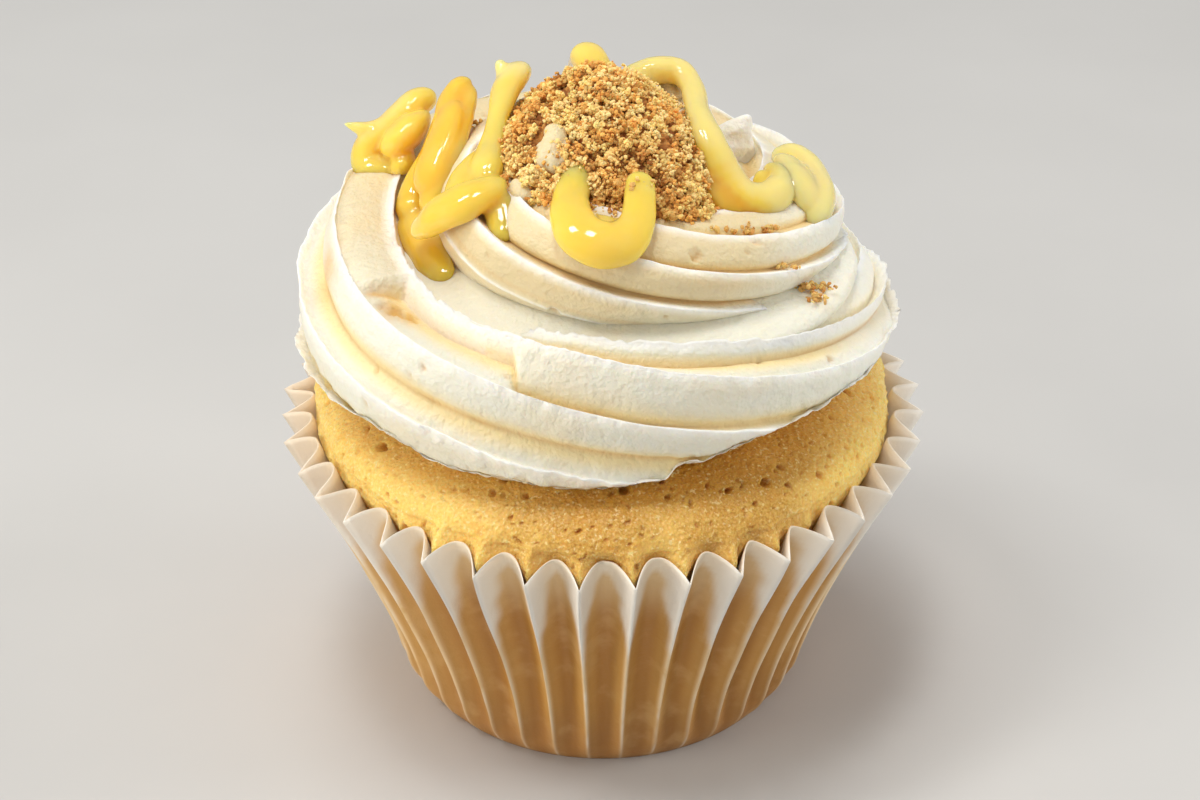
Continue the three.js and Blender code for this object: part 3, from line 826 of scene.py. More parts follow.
def build_core(material):
    """A smooth profile turned round the axis, with a shelf between the first and second turns
    that swells and rises where the turns gape."""
    height = np.linspace(CORE_HEIGHT[0], CORE_HEIGHT[-1], 60)[:, None]
    radius = through(CORE_HEIGHT, CORE_RADIUS, height)
    way = np.arange(CORE_COLUMNS)[None, :] * 360 / CORE_COLUMNS
    near = np.exp(-((height - 61) / 4) ** 2)
    radius = radius + around(CORE_SWELL, way) * near
    grid = polar(radius, way, height + around(CORE_LIFT, way) * near)
    grid = grid + 0.25 * noise(grid, 4, 101)[..., None]
    even = with_ends(np.ones(grid.shape[:2]))
    marks = {"lip": 0 * even, "scooped": 0.3 * even, "pit": 0 * even}
    return add_piece("frosting_core", [skin(grid)], material, (), marks)


def build_peak(material):
    """Cone from foot to tip whose radius shrinks as (1 - u)^0.6, bent and frayed at the top."""
    u = np.linspace(0, 0.995, 60)[:, None]
    angle = np.arange(PEAK_SIDES)[None, :] * 2 * np.pi / PEAK_SIDES
    radius = PEAK_RADIUS * (1 - u) ** 0.6
    ragged = 1 + 0.16 * noise(sheet_of(u * 5, np.cos(angle) * 2, np.sin(angle) * 2), 1, 103)
    middle = PEAK_FOOT + (PEAK_TIP - PEAK_FOOT) * u[..., None] + PEAK_BEND * (u ** 3)[..., None]
    ring = np.stack([np.cos(angle), 0.6 * np.sin(angle), 0 * angle], -1)
    grid = middle + ring * (radius * ragged)[..., None]
    even = with_ends(np.ones(grid.shape[:2]))
    # The whole torn tip takes the whiter lip colour, partly a painted highlight.
    marks = {"lip": even, "scooped": 0 * even, "pit": 0 * even}
    return add_piece("torn_tip", [skin(grid)], material, (), marks)


build_core(frosting)
build_peak(frosting)

# %% [markdown]
# ## The lemon curd
# Curd squeezed from a bag lies in glossy strands that loop over the frosting, swell where the
# hand slows, run together where they touch and end in a drawn-out tail. Each strand is a
# flattened circle carried along a smooth course. A Bezier curve with a bevel would do that too,
# but the swellings and the tails are easier as a formula on whole rings. The strands of a loop
# are then melted into one skin: a voxel remesh joins them, and smoothing rounds the seams as
# the jelly's own weight would.

# %% A smooth course through points
def course_line(points, step=0.35):
    """Evenly stepped points on the centripetal Catmull-Rom curve through the given points:
    in each stretch the knots are spaced by the square root of the distance."""
    given = np.asarray(points, float)
    padded = np.vstack([2 * given[0] - given[1], given, 2 * given[-1] - given[-2]])
    knot = np.concatenate([[0], np.cumsum(np.linalg.norm(np.diff(padded, axis=0), axis=1) ** 0.5)])
    stretches = []
    for i in range(1, len(padded) - 2):
        t = np.linspace(knot[i], knot[i + 1], 40)[:, None]
        t0, t1, t2, t3 = knot[i - 1:i + 3]
        p0, p1, p2, p3 = padded[i - 1:i + 3]
        a1 = (t1 - t) / (t1 - t0) * p0 + (t - t0) / (t1 - t0) * p1
        a2 = (t2 - t) / (t2 - t1) * p1 + (t - t1) / (t2 - t1) * p2
        a3 = (t3 - t) / (t3 - t2) * p2 + (t - t2) / (t3 - t2) * p3
        b1 = (t2 - t) / (t2 - t0) * a1 + (t - t0) / (t2 - t0) * a2
        b2 = (t3 - t) / (t3 - t1) * a2 + (t - t1) / (t3 - t1) * a3
        stretches.append((t2 - t) / (t2 - t1) * b1 + (t - t1) / (t2 - t1) * b2)
    line = np.concatenate(stretches)
    run = np.concatenate([[0], np.cumsum(np.linalg.norm(np.diff(line, axis=0), axis=1))])
    even = np.linspace(0, run[-1], max(12, int(run[-1] / step)))
    return np.stack([np.interp(even, run, line[:, k]) for k in range(3)], -1), even


print("length of a straight course:", round(course_line([[0, 0, 0], [4, 0, 0], [9, 0, 0]])[1][-1], 2))

# %% A strand
STRAND_SIDES = 36


def strand(course, sizes, seed, tail=(0, 0), high=0.85):
    """A section carried along a course, `high` times as thick as it is wide. Its half width
    follows the sizes, times a slow swelling, times a round end, or times a long taper where a
    tail is asked for. The thin way points up and out from the middle of the cake."""
    middle, run = course_line(course)
    length = run[-1]
    thick = along(sizes, 0, length / (len(sizes) - 1), run)
    ends = 1.0
    for from_end, drawn in ((run, tail[0]), (length - run, tail[1])):
        round_end = np.sqrt(np.clip(1 - (1 - np.clip(from_end / thick, 0.02, 1)) ** 2, 0, 1))
        long_end = np.clip(from_end / max(drawn, 1e-6), 0.03, 1) ** 0.7
        ends = ends * (long_end if drawn else round_end)
    ahead = np.gradient(middle, axis=0)
    ahead = ahead / np.linalg.norm(ahead, axis=1, keepdims=True)
    out = middle * [1, 1, 0]
    out = out / np.maximum(np.linalg.norm(out, axis=1, keepdims=True), 6) + [0.1, 0.05, 1.2]
    side = np.cross(ahead, out)
    side = side / np.linalg.norm(side, axis=1, keepdims=True)
    above = np.cross(side, ahead)
    angle = np.arange(STRAND_SIDES)[None, :] * 2 * np.pi / STRAND_SIDES
    section = (np.cos(angle)[..., None] * side[:, None, :]
               + high * np.sin(angle)[..., None] * above[:, None, :])
    where = middle[:, None, :] + section
    swell = 1 + 0.06 * noise(where, 3.2, seed) + 0.04 * noise(where, 1.5, seed + 1)
    return skin(middle[:, None, :] + section * ((thick * ends)[:, None] * swell)[..., None])


# %% Melting strands into one skin
def points_of(piece):
    """The points of a piece in mm."""
    held = np.empty(len(piece.data.vertices) * 3, np.float32)
    piece.data.vertices.foreach_get("co", held)
    return held.reshape(-1, 3) / MM


def melt(piece, cell, rounds):
    """One skin round overlapping ones: the surface of all cells of cell mm that lie inside them,
    each point then moved half way to its neighbours' mean, several rounds over."""
    remesh = piece.modifiers.new("remesh", "REMESH")
    remesh.mode = "VOXEL"
    remesh.voxel_size = cell * MM
    remesh.use_smooth_shade = True
    soften = piece.modifiers.new("soften", "SMOOTH")
    soften.factor = 0.5
    soften.iterations = rounds
    melted = bpy.data.meshes.new_from_object(
        piece.evaluated_get(bpy.context.evaluated_depsgraph_get()))
    piece.modifiers.clear()
    piece.data = melted
    print(f"{piece.name}: melted into {len(melted.polygons)} faces")


def mark_depth(piece, lines):
    """Number for each point: the mean depth of colour of the strands, each weighted by
    e^(-gap²/2) of its gap in mm to the point."""
    points = points_of(piece)
    weights = [np.exp(-np.linalg.norm(points[:, None] - line[None, ::4], axis=-1).min(1) ** 2 / 2)
               for line, _ in lines]
    depths = np.array([depth for _, depth in lines])[:, None]
    depth = (np.array(weights) * depths).sum(0) / (np.array(weights).sum(0) + 1e-9)
    held = piece.data.attributes.new("deep", "FLOAT", "POINT")
    held.data.foreach_set("value", depth.astype(np.float32))


# %% Curd material
def curd_paint():
    """Lemon curd: glossy jelly in which light spreads far, golden where it lies deep."""
    paint = Paint("lemon_curd", Roughness=0.05, Coat_Weight=0.5, Coat_Roughness=0.02, IOR=1.45,
                  Subsurface_Weight=1.0, Subsurface_Scale=0.006, Subsurface_Radius=(1.0, 0.8, 0.3))
    deep, cloud = paint.mark("deep"), paint.grain(5.0, 2.0)
    yellow = paint.mix(tint(247, 215, 142), tint(246, 200, 84), paint.between(deep, 0.0, 0.5))
    yellow = paint.mix(yellow, tint(240, 170, 42), paint.between(deep, 0.5, 1.0))
    yellow = paint.mix(yellow, tint(249, 216, 130), paint.between(cloud, 0.45, 0.8) * 0.35)
    paint.feed("Base Color", yellow)
    paint.relief(paint.grain(2.4, 2.0), 0.08)
    return paint.material


# %% Courses of the strands
# Each strand: its course, its half widths, the lengths of its tails, how thick it is for its
# width, and how deep its yellow is.
CURD = {
    "far_left_curd": ("curd_far_left", [
        ([[-21.5, 15.5, 73.5], [-23.2, 14, 74.2], [-25.2, 12.4, 73], [-27.5, 11.2, 71.4],
          [-29.6, 10.4, 69.8], [-29.4, 8.8, 68.4], [-27.2, 8, 67.8], [-25, 8, 68.6]],
         [2.2, 2.8, 2.7, 2.5, 2.5, 2.5, 2.4], (0, 0), 0.7, 0.45),
        ([[-21.6, 10.4, 74.6], [-23.6, 9.2, 73.1], [-25.6, 8.4, 71.5], [-27.6, 8.4, 70]],
         [2.6, 3.4, 3.4, 2.8], (0, 0), 0.6, 0.55),
        ([[-23.4, 6.6, 70.6], [-24.8, 6.6, 69.4], [-26.4, 7, 68.4]],
         [2.4, 2.7, 2.2], (0, 0), 0.6, 0.7),
        ([[-25, 12.4, 73.6], [-27.2, 11.4, 72.5], [-29.6, 10.8, 72.1], [-32.7, 10.1, 73.2]],
         [1.6, 1.5, 1.2, 0.9], (0, 2.2), 0.7, 0.2),
    ]),
    "left_loop_curd": ("curd_left_loop", [
        ([[-18.3, 11.5, 76.5], [-17.8, 9.8, 78.2], [-18.6, 8.6, 77.4], [-19.2, 6, 76.2],
          [-20.1, 4.4, 74.4], [-21.2, 3.4, 72], [-22.6, 2.4, 69.7], [-23.6, 0.4, 67.6],
          [-23.4, -2.6, 66.6]],
         [1.8, 1.9, 1.9, 1.9, 2.1, 2.0], (0, 0), 0.7, 0.75),
        ([[-17.8, 9.8, 78.2], [-17, 8.3, 77.4], [-17.2, 5.2, 76.2], [-17.7, 2, 74.9],
          [-18.2, -0.6, 73.4], [-19, -2.6, 71.6], [-20.4, -3.6, 69.8], [-21.6, -4.4, 68]],
         [1.8, 1.8, 1.7, 1.9, 2.1, 2.2], (0, 0), 0.7, 0.7),
        ([[-18.5, 7, 77.5], [-18.9, 4.2, 76.5], [-19.6, 1.2, 74.8], [-20.8, -1.4, 72.1],
          [-22, -3, 69.8]],
         [1.7, 2.4, 2.9, 3.2, 3.0], (0, 0), 0.55, 0.75),
        ([[-24, -1, 66.4], [-22.8, -3.4, 65.4], [-21.4, -6.6, 65], [-20.6, -9.4, 64.8],
          [-19.4, -12, 64.4], [-18.2, -14.2, 64.2]], [2.4, 2.9, 2.8, 2.5, 2.1, 1.6], (0, 0), 0.55, 0.8),
        ([[-22.2, -4.4, 66], [-19.8, -6.6, 66.2], [-17.6, -9.2, 66.6]],
         [2.4, 2.6, 1.9], (0, 1), 0.45, 0.7),
    ]),
    "middle_curd": ("curd_middle", [
        ([[-10.2, 11.5, 79.5], [-10.9, 9, 80], [-11.9, 5.6, 79.3], [-12.4, 2.4, 78.6],
          [-12.9, -0.7, 77.4], [-13.4, -4, 76.2], [-13.8, -7.6, 75.6], [-13.4, -10.2, 74.8]],
         [2.3, 2.5, 2.0, 1.6, 1.8, 2.2, 2.2], (0, 0), 0.7, 0.35),
        ([[-12, 8.4, 80.2], [-12.5, 9.2, 81.2], [-12.7, 9.8, 82.1]],
         [1.1, 0.8, 0.75], (0, 0), 1.0, 0.0),
        ([[-10.6, 8.6, 80.2], [-10.2, 9.2, 81.1], [-9.8, 9.6, 81.8]],
         [1.4, 1.0, 0.6], (0, 0.8), 1.0, 0.1),
        ([[-13.6, -2.4, 76], [-15.2, -5.0, 74.8], [-16.4, -7.8, 73.4], [-16.6, -10.4, 72.9]],
         [1.5, 2.3, 2.8, 2.4], (0, 0), 0.5, 0.45),
        ([[-11.6, -10, 75.4], [-13.6, -12, 74.8], [-16.4, -12.7, 73.6], [-19, -12, 71.9],
          [-21, -10.2, 69.6], [-22.6, -8.2, 67.8]], [1.6, 2.3, 2.7, 2.6, 2.2, 1.3], (0, 1.5), 0.65, 0.6),
        ([[-12.6, -11.4, 74.2], [-11.9, -13, 73], [-11.5, -15.2, 71.6], [-11.4, -17.2, 71]],
         [1.9, 2.1, 2.0, 1.7], (0, 0), 0.6, 0.8),
    ]),
    "front_curd": ("curd_front", [
        ([[-2.4, -9.6, 77.8], [-3.1, -12, 76.4], [-3.7, -15.4, 75.3], [-3.5, -18.9, 74.8],
          [-2.5, -21.2, 74], [-0.4, -22.4, 73.3], [1.8, -21.9, 73.1], [3.4, -20.3, 73.8],
          [4.2, -17.6, 74.9], [4.4, -14.4, 76.2], [4.2, -12.2, 77.4]],
         [2.0, 2.1, 2.3, 2.6, 2.8, 2.6, 2.2, 1.9, 1.8], (0, 0), 0.66, 0.55),
        ([[-2.4, -17.4, 74], [0, -19.6, 73.6], [2.4, -18.6, 73.8]],
         [1.6, 2.0, 1.6], (0, 0), 0.5, 0.4),
    ]),
    "right_curd": ("curd_right", [
        ([[4, 6.4, 79.6], [4.9, 9, 80.2], [7.2, 9.6, 80.6], [9.5, 9.4, 80.4], [10.9, 6.9, 79.6],
          [11.4, 2.4, 78.9], [12.2, -1.6, 78], [13.4, -4.4, 76.1], [15, -5.7, 73.4],
          [17, -6.8, 71.4], [19.4, -6.3, 70.7], [21.3, -4, 70.9], [21.8, -0.4, 70.9], [20.3, 2.4, 70.4]],
         [2.3, 2.3, 2.1, 1.9, 1.9, 2.2, 2.5, 2.4, 2.2, 1.9, 1.8], (0, 0), 0.75, 0.15),
        ([[12.6, -4.6, 75], [13.8, -6.6, 72.4], [15.8, -8.2, 70.4], [18.2, -7.4, 69.6]],
         [1.8, 2.4, 2.3, 2.0], (0, 0), 0.7, 1.0),
        ([[18.6, -3.6, 70.6], [20, -1.8, 70.6], [20.6, 0.6, 70.4]], [1.9, 2.1, 1.7], (0, 0), 0.55, 0.6),
    ]),
    "right_lobe_curd": ("curd_right_lobe", [
        ([[21.4, 8.6, 68.3], [23.2, 9.2, 69.1], [25.1, 7.4, 69.2], [26.4, 4, 68.6],
          [26.8, 0, 68.2], [26.2, -3.6, 67.8], [25.4, -6, 67]],
         [1.7, 2.0, 2.0, 2.0, 1.9, 1.6], (0, 0), 0.85, 0.0),
        ([[22.6, 6, 69.6], [23.8, 2, 70], [24.6, -1.8, 69.6], [25, -5, 68.4]],
         [2.6, 3.3, 3.3, 2.4], (0, 0), 0.5, 0.1),
    ]),
    "back_curd": ("curd_back", [
        ([[-2.6, 15, 77.5], [-2.2, 12.8, 80.2], [-1.7, 11, 81.6], [-1, 9, 81], [-0.6, 6.6, 80]],
         [2.1, 2.2, 2.3, 2.0], (0, 0), 0.9, 0.35),
        ([[-2.2, 11, 81], [-3.4, 11.2, 81.6]], [1.8, 1.3], (0, 0), 0.9, 0.3),
    ]),
}

print("strands of curd:", sum(len(strands) for _, strands in CURD.values()))

# %% Build the curd
CURD_SEED = 110
SEEDS_PER_LOOP = 9
CURD_CELL = 0.25                     # mm of a voxel
CURD_ROUNDS = 18


def build_curd(name, node, strands, number, material):
    """The strands of one loop, melted together, with their depth of colour."""
    seed = CURD_SEED + SEEDS_PER_LOOP * number
    parts = [strand(course, sizes, seed + k, tail, high)
             for k, (course, sizes, tail, high, _) in enumerate(strands)]
    piece = add_piece(name, parts, material, [node])
    melt(piece, CURD_CELL, CURD_ROUNDS)
    mark_depth(piece, [(course_line(course)[0], deep) for course, _, _, _, deep in strands])
    return piece


curd = curd_paint()
for number, (name, (node, strands)) in enumerate(CURD.items()):
    build_curd(name, node, strands, number, curd)

# %% [markdown]
# ## The crumb heap
# Crushed biscuit is granules of about half a millimetre that cling together in lumps of one or
# two millimetres. One granule needs only the twenty faces of a rough icosahedron. The heap under
# them is one fine surface with lumps in relief, so no hole shows between the granules. Frosting
# shows through the heap at its left and, beside a loop of curd, at its back right.

# %% Heap surface
_, heap_high = box_mm("crumb_heap")
HEAP_TOP = round(heap_high[2] - 0.6, 1)
HEAP_BACK = 2.5                      # how far the crown lies behind the middle of the cake
HEAP_MIDDLE = 68.0                   # height of the point that the crumbs face away from
HEAP_REACH = [14.5, 15.5, 12.5, 13, 12.6, 8.6, 14.2, 16.6]
HEAP_FOOT = [73.5, 74.5, 75.5, 76, 77, 75, 71, 71.5]
HEAP_COLUMNS = 540
CORE_INSET = 0.7                     # how far the core lies inside the heap's surface
CORE_SKIRT = 6.0                     # how far its first ring goes down into the frosting


def heap_point(share, way, shrink=0.0):
    """Heap surface: share goes from 0 at the crown to 1 at the edge, and the height falls
    from the crown to the edge as (1 - share²)^0.75."""
    foot = around(HEAP_FOOT, way)
    reach = around(HEAP_REACH, way) - shrink
    rise = np.maximum(0, 1 - share ** 2) ** 0.75
    points = polar(reach * share, way, foot + (HEAP_TOP - shrink - foot) * rise)
    points = points + (1 - share)[..., None] * np.array([0, HEAP_BACK, 0])
    out = points - np.array([0, 0, HEAP_MIDDLE])
    out = out / np.linalg.norm(out, axis=-1, keepdims=True)
    lumps = 0.7 * noise(points, 4.2, 130) + 0.45 * noise(points, 1.9, 131)
    return points + out * lumps[..., None], out


def build_heap(material):
    """Rings from the foot to the crown a little inside the heap's own surface, with granules in
    relief: three heights added up, of which the middle one is a dome over each spot. The first
    ring goes down into the frosting."""
    share = np.concatenate([[1.0, 1.0], np.linspace(1, 0.01, 148)])[:, None]
    way = np.arange(HEAP_COLUMNS)[None, :] * 360 / HEAP_COLUMNS
    plain, out = heap_point(*np.broadcast_arrays(share, way), CORE_INSET)
    plain[0, :, 2] -= CORE_SKIRT
    fine, own = nearest_spot(plain, 0.55, 141)
    lumps = 0.4 * noise(plain, 1.4, 143) + 0.4 * smooth(0.45, 0.0, fine) + 0.1 * noise(plain, 0.25, 142)
    grid = plain + out * lumps[..., None]
    # Partly the crumbs' own brown and partly painted shade: the core's tone is lowered, so the gaps
    # between the granules show dark.
    marks = {"tone": with_ends(np.clip(own * 0.9 - 0.35 + 0.2 * noise(plain, 1, 9), 0, 1))}
    return add_piece("crumb_core", [skin(grid)], material, ["crumb_heap"], marks,
                     facets=True)


print("the heap reaches from", min(HEAP_FOOT), "to", HEAP_TOP, "mm")


# %% Granules
def icosahedron():
    """The twelve corners and twenty faces of a regular icosahedron of radius 1."""
    golden = (1 + 5 ** 0.5) / 2
    corners = np.array([[s, t * golden, 0] for s in (-1, 1) for t in (-1, 1)], float)
    corners = np.concatenate([np.roll(corners, k, axis=1) for k in range(3)])
    corners = corners / np.linalg.norm(corners[0])
    apart = np.linalg.norm(corners[:, None] - corners[None], axis=-1)
    close = (apart > 0.1) & (apart < 1.1)
    faces = [(a, b, c) for a in range(12) for b in range(a + 1, 12) for c in range(b + 1, 12)
             if close[a, b] and close[b, c] and close[a, c]]
    faces = np.array(faces)
    a, b, c = (corners[faces[:, k]] for k in range(3))
    inward = np.einsum("ij,ij->i", a, np.cross(b, c)) < 0
    faces[inward] = faces[inward][:, ::-1]
    return corners, faces


CORNERS, FACES = icosahedron()
print("one granule:", len(CORNERS), "corners and", len(FACES), "faces")


def granules(places, sizes, chance):
    """One uneven icosahedron at each place: its corners moved at random, then squashed and
    turned at random, all as whole arrays."""
    count = len(places)
    jitter = 1 + 0.3 * (chance.random((count, 12, 1)) - 0.5) * 2
    shape = CORNERS[None] * jitter * (0.65 + 0.7 * chance.random((count, 1, 3)))
    turn = np.linalg.qr(chance.normal(size=(count, 3, 3)))[0]
    turn = turn * np.sign(np.linalg.det(turn))[:, None, None]
    points = np.einsum("nij,nkj->nki", turn, shape) * sizes[:, None, None] + places[:, None, :]
    faces = FACES[None] + 12 * np.arange(count)[:, None, None]
    return points.reshape(-1, 3), faces.reshape(-1, 3)


# %% Crumb material
def crumb_paint(name, dark, pale):
    """Baked biscuit: each granule has its own tone between two colours."""
    paint = Paint(name, Roughness=0.75, Subsurface_Weight=0.2, Subsurface_Scale=0.0015)
    tone = paint.mark("tone")
    paint.feed("Base Color", paint.mix(dark, pale, tone * 0.9 + paint.grain(0.6) * 0.25))
    paint.relief(paint.grain(0.2), 0.05)
    return paint.material


# %% Where the granules lie
def gather(centres, count, reach, chance):
    """Places of granules strewn round centres, each centre a lump with a size of its own."""
    pick = chance.integers(0, len(centres), count)
    size = reach * (0.45 + 0.75 * chance.random(len(centres)))[pick]
    direction = chance.normal(size=(count, 3))
    direction /= np.linalg.norm(direction, axis=1, keepdims=True)
    return centres[pick] + direction * (size * chance.random(count) ** 0.45)[:, None], pick


# Frosting that shows through the heap: a course, and half widths along it.
PEEKS = [
    ([[-6.6, -5.6, 80], [-5.6, -7.2, 79.6], [-6, -9.4, 78.4], [-5.5, -11.4, 76.8]],
     [0.8, 1.5, 1.2, 1.0]),
    ([[-7.4, -7.4, 78.8], [-6.8, -9, 78.2], [-7.2, -10.8, 76.8]], [0.7, 1.3, 0.8]),
    ([[-3.9, -7.8, 79.4], [-4.8, -9.2, 78.6], [-4.4, -10.8, 77.8]], [0.6, 1.0, 0.6]),
    ([[-10.4, -10.8, 75.8], [-9.6, -11.9, 74.8], [-8.2, -13.1, 74]], [0.9, 1.3, 1.0]),
    ([[8.6, 10.4, 74], [8.2, 9.4, 77], [7.6, 8.8, 79.4]], [3.4, 2.6, 0.9]),
]


def beside_peeks(places):
    """True for places that leave the shown frosting free, apart from a few at its edges."""
    gaps = [np.linalg.norm(places[:, None] - course_line(course)[0][None, ::4], axis=-1).min(1)
            for course, _ in PEEKS]
    return np.min(gaps, axis=0) > 1.0 + 0.9 * noise(places, 1.1, 133)


# %% Build the crumbs
GRANULES = 9900                      # of each kind, before those beside the shown frosting go
# Places where the heap is baked darker, and how far each reaches.
BAKED_DARK = [([1.6, -12.4, 76.5], 3.0), ([-6.1, -9.7, 79], 1.6), ([5.5, -12.5, 76], 2.4)]


def build_crumbs(name, lumps, paint, seed, sizes, ways=(0, 360), shares=(0, 1)):
    """Granules gathered round lumps that lie on the heap's surface, with painted light on those
    at the outside of a lump and painted shade on those deep inside it.
    """
    count = GRANULES
    chance = np.random.default_rng(seed)
    spread = chance.random(lumps) ** 0.62
    share = shares[0] + (shares[1] - shares[0]) * np.sin(np.pi / 2 * spread)
    way = ways[0] + (ways[1] - ways[0]) * chance.random(lumps)
    centres, out = heap_point(share, way, 0.75 - 1.1 * chance.random(lumps))
    places, pick = gather(centres, count, 0.85, chance)
    free = beside_peeks(places)
    places, pick, count = places[free], pick[free], int(free.sum())
    rise = np.einsum("ij,ij->i", places - centres[pick], out[pick])
    radii = sizes[0] + (sizes[1] - sizes[0]) * chance.random(count) ** 2
    # Painted light and shade: a granule is paler the further it stands out of its lump and darker deep
    # inside it; lumps and granules also differ at random.
    tone = 0.64 + 0.6 * np.clip(rise, -1, 1) + 0.2 * chance.normal(size=lumps)[pick]
    tone = tone + 0.12 * chance.normal(size=count)
    for middle, reach in BAKED_DARK:
        gap = np.linalg.norm(places - middle, axis=1)
        tone = tone - 0.9 * np.exp(-(gap / reach) ** 2)
    return add_piece(name, [granules(places, radii, chance)], paint, (),
                     {"tone": np.repeat(np.clip(tone, 0, 1), 12)}, facets=True)


golden = crumb_paint("golden_crumb", tint(186, 116, 44), tint(255, 220, 136))
brown = crumb_paint("brown_crumb", tint(126, 68, 22), tint(244, 180, 94))
pale = crumb_paint("pale_crumb", tint(240, 180, 92), tint(255, 224, 152))
build_heap(brown)
build_crumbs("golden_crumbs", 620, golden, 3, (0.17, 0.36))
build_crumbs("brown_crumbs", 600, brown, 5, (0.17, 0.36))
build_crumbs("pale_crumbs", 560, pale, 7, (0.16, 0.32), (-150, 50), (0, 0.95))

# %% [markdown]
# ## Fallen crumbs
# A few crumbs have rolled off the heap and lie in small patches on the frosting. A particle
# system could drop them, but a short list of patches keeps each where it belongs. Inside a patch
# the granules are strewn by a bell curve that is widest from side to side.

# %% Crumbs on the frosting
# Each patch: its middle, how far it spreads, and how many granules it has.
FALLEN = [
    ([12.4, -13.9, 70.9], 0.9, 26), ([14.6, -13.3, 70.5], 0.7, 18), ([16.8, -12.5, 70.1], 1.0, 30),
    ([19.6, -11.1, 69.5], 0.8, 20), ([21.4, -15.1, 66.6], 0.8, 16), ([25.2, -15.0, 62.2], 1.1, 34),
    ([24.2, -13.4, 62.9], 1.1, 30), ([26.2, -12.4, 62.2], 1.2, 34), ([23.7, -17.8, 59.6], 0.5, 7),
    ([-15.9, 6.4, 75.0], 0.6, 12), ([-8.4, -13.3, 74.2], 0.9, 16), ([-1.5, -15.4, 74.2], 1.3, 50),
    ([2.2, -15.6, 74.2], 1.3, 50), ([8, -14.6, 73.2], 1.2, 40), ([4.1, -14.2, 77], 1.4, 60),
]


def build_fallen(material):
    """Granules strewn round the middle of each patch."""
    chance = np.random.default_rng(11)
    middle, reach, counts = zip(*FALLEN)
    middles, reach = np.repeat(middle, counts, axis=0), np.repeat(reach, counts)
    count = len(middles)
    places = middles + chance.normal(size=(count, 3)) * [1, 0.7, 0.35] * 0.6 * reach[:, None]
    radii = 0.16 + 0.26 * chance.random(count) ** 2
    tone = np.repeat(np.clip(chance.normal(0.35, 0.3, count), 0, 1), 12)
    return add_piece("fallen_crumbs", [granules(places, radii, chance)], material,
                     (), {"tone": tone}, facets=True)


build_fallen(golden)

# %% [markdown]
# ## Frosting among the crumbs
# The frosting that shows between the crumbs could be the rope itself, but the heap's core hides
# the rope. Short strands of cream laid on the core stand for it, melted together like the curd,
# and the granules beside them were left out above.

# %% Frosting that shows through the heap
PEEK_SEED = 160
PEEK_CELL = 0.2                      # mm of a voxel
PEEK_ROUNDS = 4


def build_peeks(material):
    """Smooth lumps of cream among the crumbs."""
    parts = [strand(course, sizes, PEEK_SEED + 3 * k) for k, (course, sizes) in enumerate(PEEKS)]
    piece = add_piece("cream_through_crumbs", parts, material)
    melt(piece, PEEK_CELL, PEEK_ROUNDS)


build_peeks(frosting)

# %% [markdown]
# ## Floor, light and camera
# The cake stands on a plain pale floor. Soft lamps from the left and the right graze the ridges
# of the frosting and give them their shape, one overhead and a large weak one in front lift the
# shadows, and two small ones leave the short bright reflections on the curd. Only those two show
# in glossy things, because the reflection of a wide lamp would make the curd look like plastic.
# The camera looks down at 31.7 degrees.

# %% Floor
FLOOR_RADIUS = 4.0                   # metres
FLOOR_SIDES = 96


def build_floor():
    """A wide pale disc just under the cake, with a faint mottle."""
    paint = Paint("pale_floor", Roughness=0.7)
    paint.feed("Base Color", paint.mix(tint(196, 194, 190), tint(206, 204, 200), paint.grain(60.0)))
    mesh = bpy.data.meshes.new("floor")
    way = np.arange(FLOOR_SIDES) * 2 * np.pi / FLOOR_SIDES
    corners = np.stack([FLOOR_RADIUS * np.cos(way), FLOOR_RADIUS * np.sin(way), 0 * way], -1)
    mesh.from_pydata(corners.tolist(), [], [list(range(FLOOR_SIDES))])
    mesh.materials.append(paint.material)
    floor = bpy.data.objects.new("floor", mesh)
    bpy.context.scene.collection.objects.link(floor)


build_floor()
print("floor:", 2 * FLOOR_RADIUS, "m across")


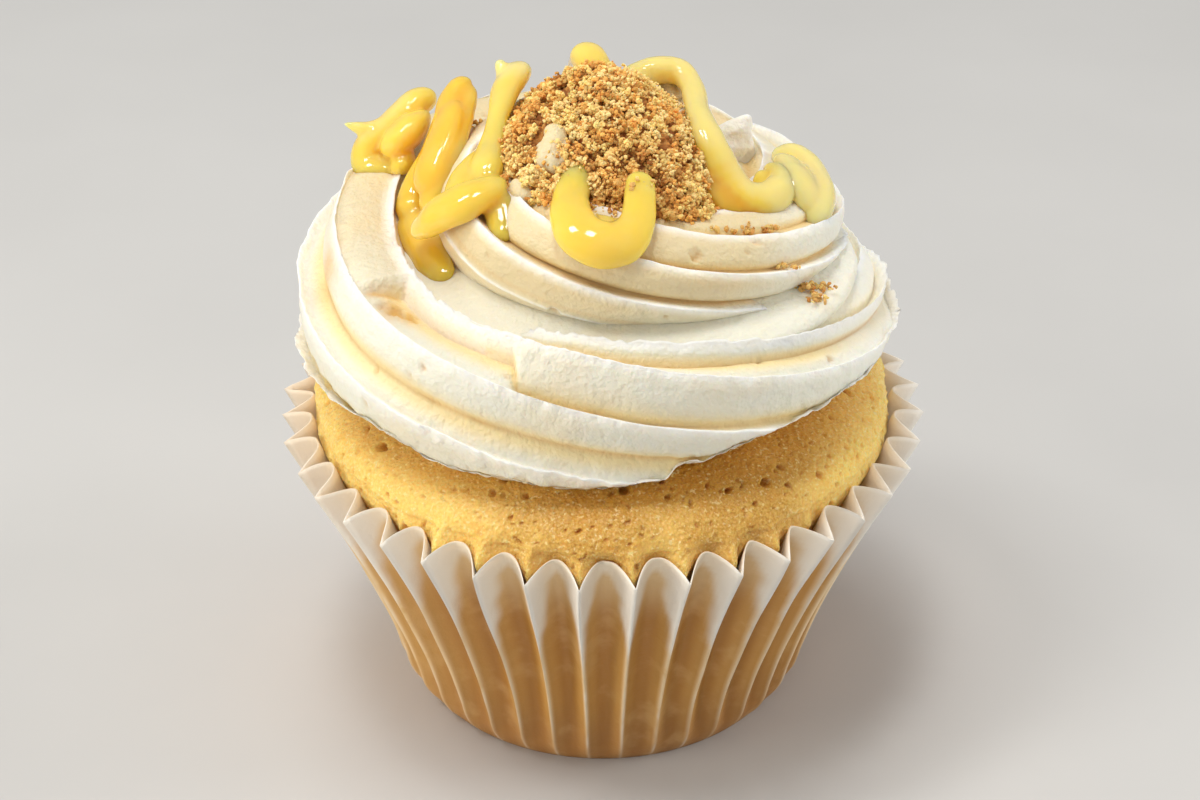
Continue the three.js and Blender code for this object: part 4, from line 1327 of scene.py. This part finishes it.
# %% Lamps
def lamp(name, place, power, size, colour=(1, 1, 1), mirrored=False):
    """A lamp of a width and height at a place in metres that shines at the middle of the cake.
    Only a lamp that is mirrored shows as a bright reflection on glossy things."""
    light = bpy.data.lights.new(name, "AREA")
    light.shape = "RECTANGLE"
    light.energy = power
    light.size, light.size_y = size
    light.color = colour
    holder = bpy.data.objects.new(name, light)
    holder.visible_glossy = mirrored
    holder.location = place
    way = np.array([0, 0, 0.045]) - np.array(place)
    flat = math.hypot(way[0], way[1])
    holder.rotation_euler = (math.atan2(flat, -way[2]), 0, math.atan2(-way[0], way[1]))
    bpy.context.scene.collection.objects.link(holder)


lamp("overhead", (-0.1, 0.12, 0.85), 2.2, (0.3, 0.3), (1.0, 0.98, 0.95))
lamp("left", (-0.7, -0.25, 0.15), 2.8, (0.35, 0.35), (1.0, 0.95, 0.86))
lamp("right", (0.75, 0.05, 0.24), 2.8, (0.35, 0.35), (1.0, 0.98, 0.96))
lamp("front", (-0.2, -0.78, 0.2), 1.1, (0.5, 0.5), (1.0, 0.97, 0.92))
lamp("left_glint", (-0.34, -0.08, 0.66), 1.2, (0.12, 0.2), mirrored=True)
lamp("right_glint", (-0.08, -0.12, 0.78), 1.2, (0.12, 0.2), mirrored=True)
world = bpy.data.worlds.new("studio")
world.use_nodes = True
world.node_tree.nodes["Background"].inputs["Color"].default_value = (0.93, 0.96, 1.0, 1.0)
world.node_tree.nodes["Background"].inputs["Strength"].default_value = 0.34
bpy.context.scene.world = world

print("lamps:", [item.name for item in bpy.data.lights])

# %% Camera
LOOK_DOWN = math.radians(31.74)
DISTANCE = 305.5 * MM
LOOK_AT = (-0.305 * MM, 0.0, 38.72 * MM)
camera = bpy.data.objects.new("camera", bpy.data.cameras.new("camera"))
camera.data.lens = 71.0
camera.data.sensor_width = 36.0
camera.data.clip_start = 0.01
camera.location = (LOOK_AT[0], -DISTANCE * math.cos(LOOK_DOWN),
                   LOOK_AT[2] + DISTANCE * math.sin(LOOK_DOWN))
camera.rotation_euler = (math.pi / 2 - LOOK_DOWN, 0, 0)
bpy.context.scene.collection.objects.link(camera)
bpy.context.scene.camera = camera
bpy.context.scene.view_settings.view_transform = "Standard"
print("camera:", round(DISTANCE / MM, 1), "mm from the middle of the cake")
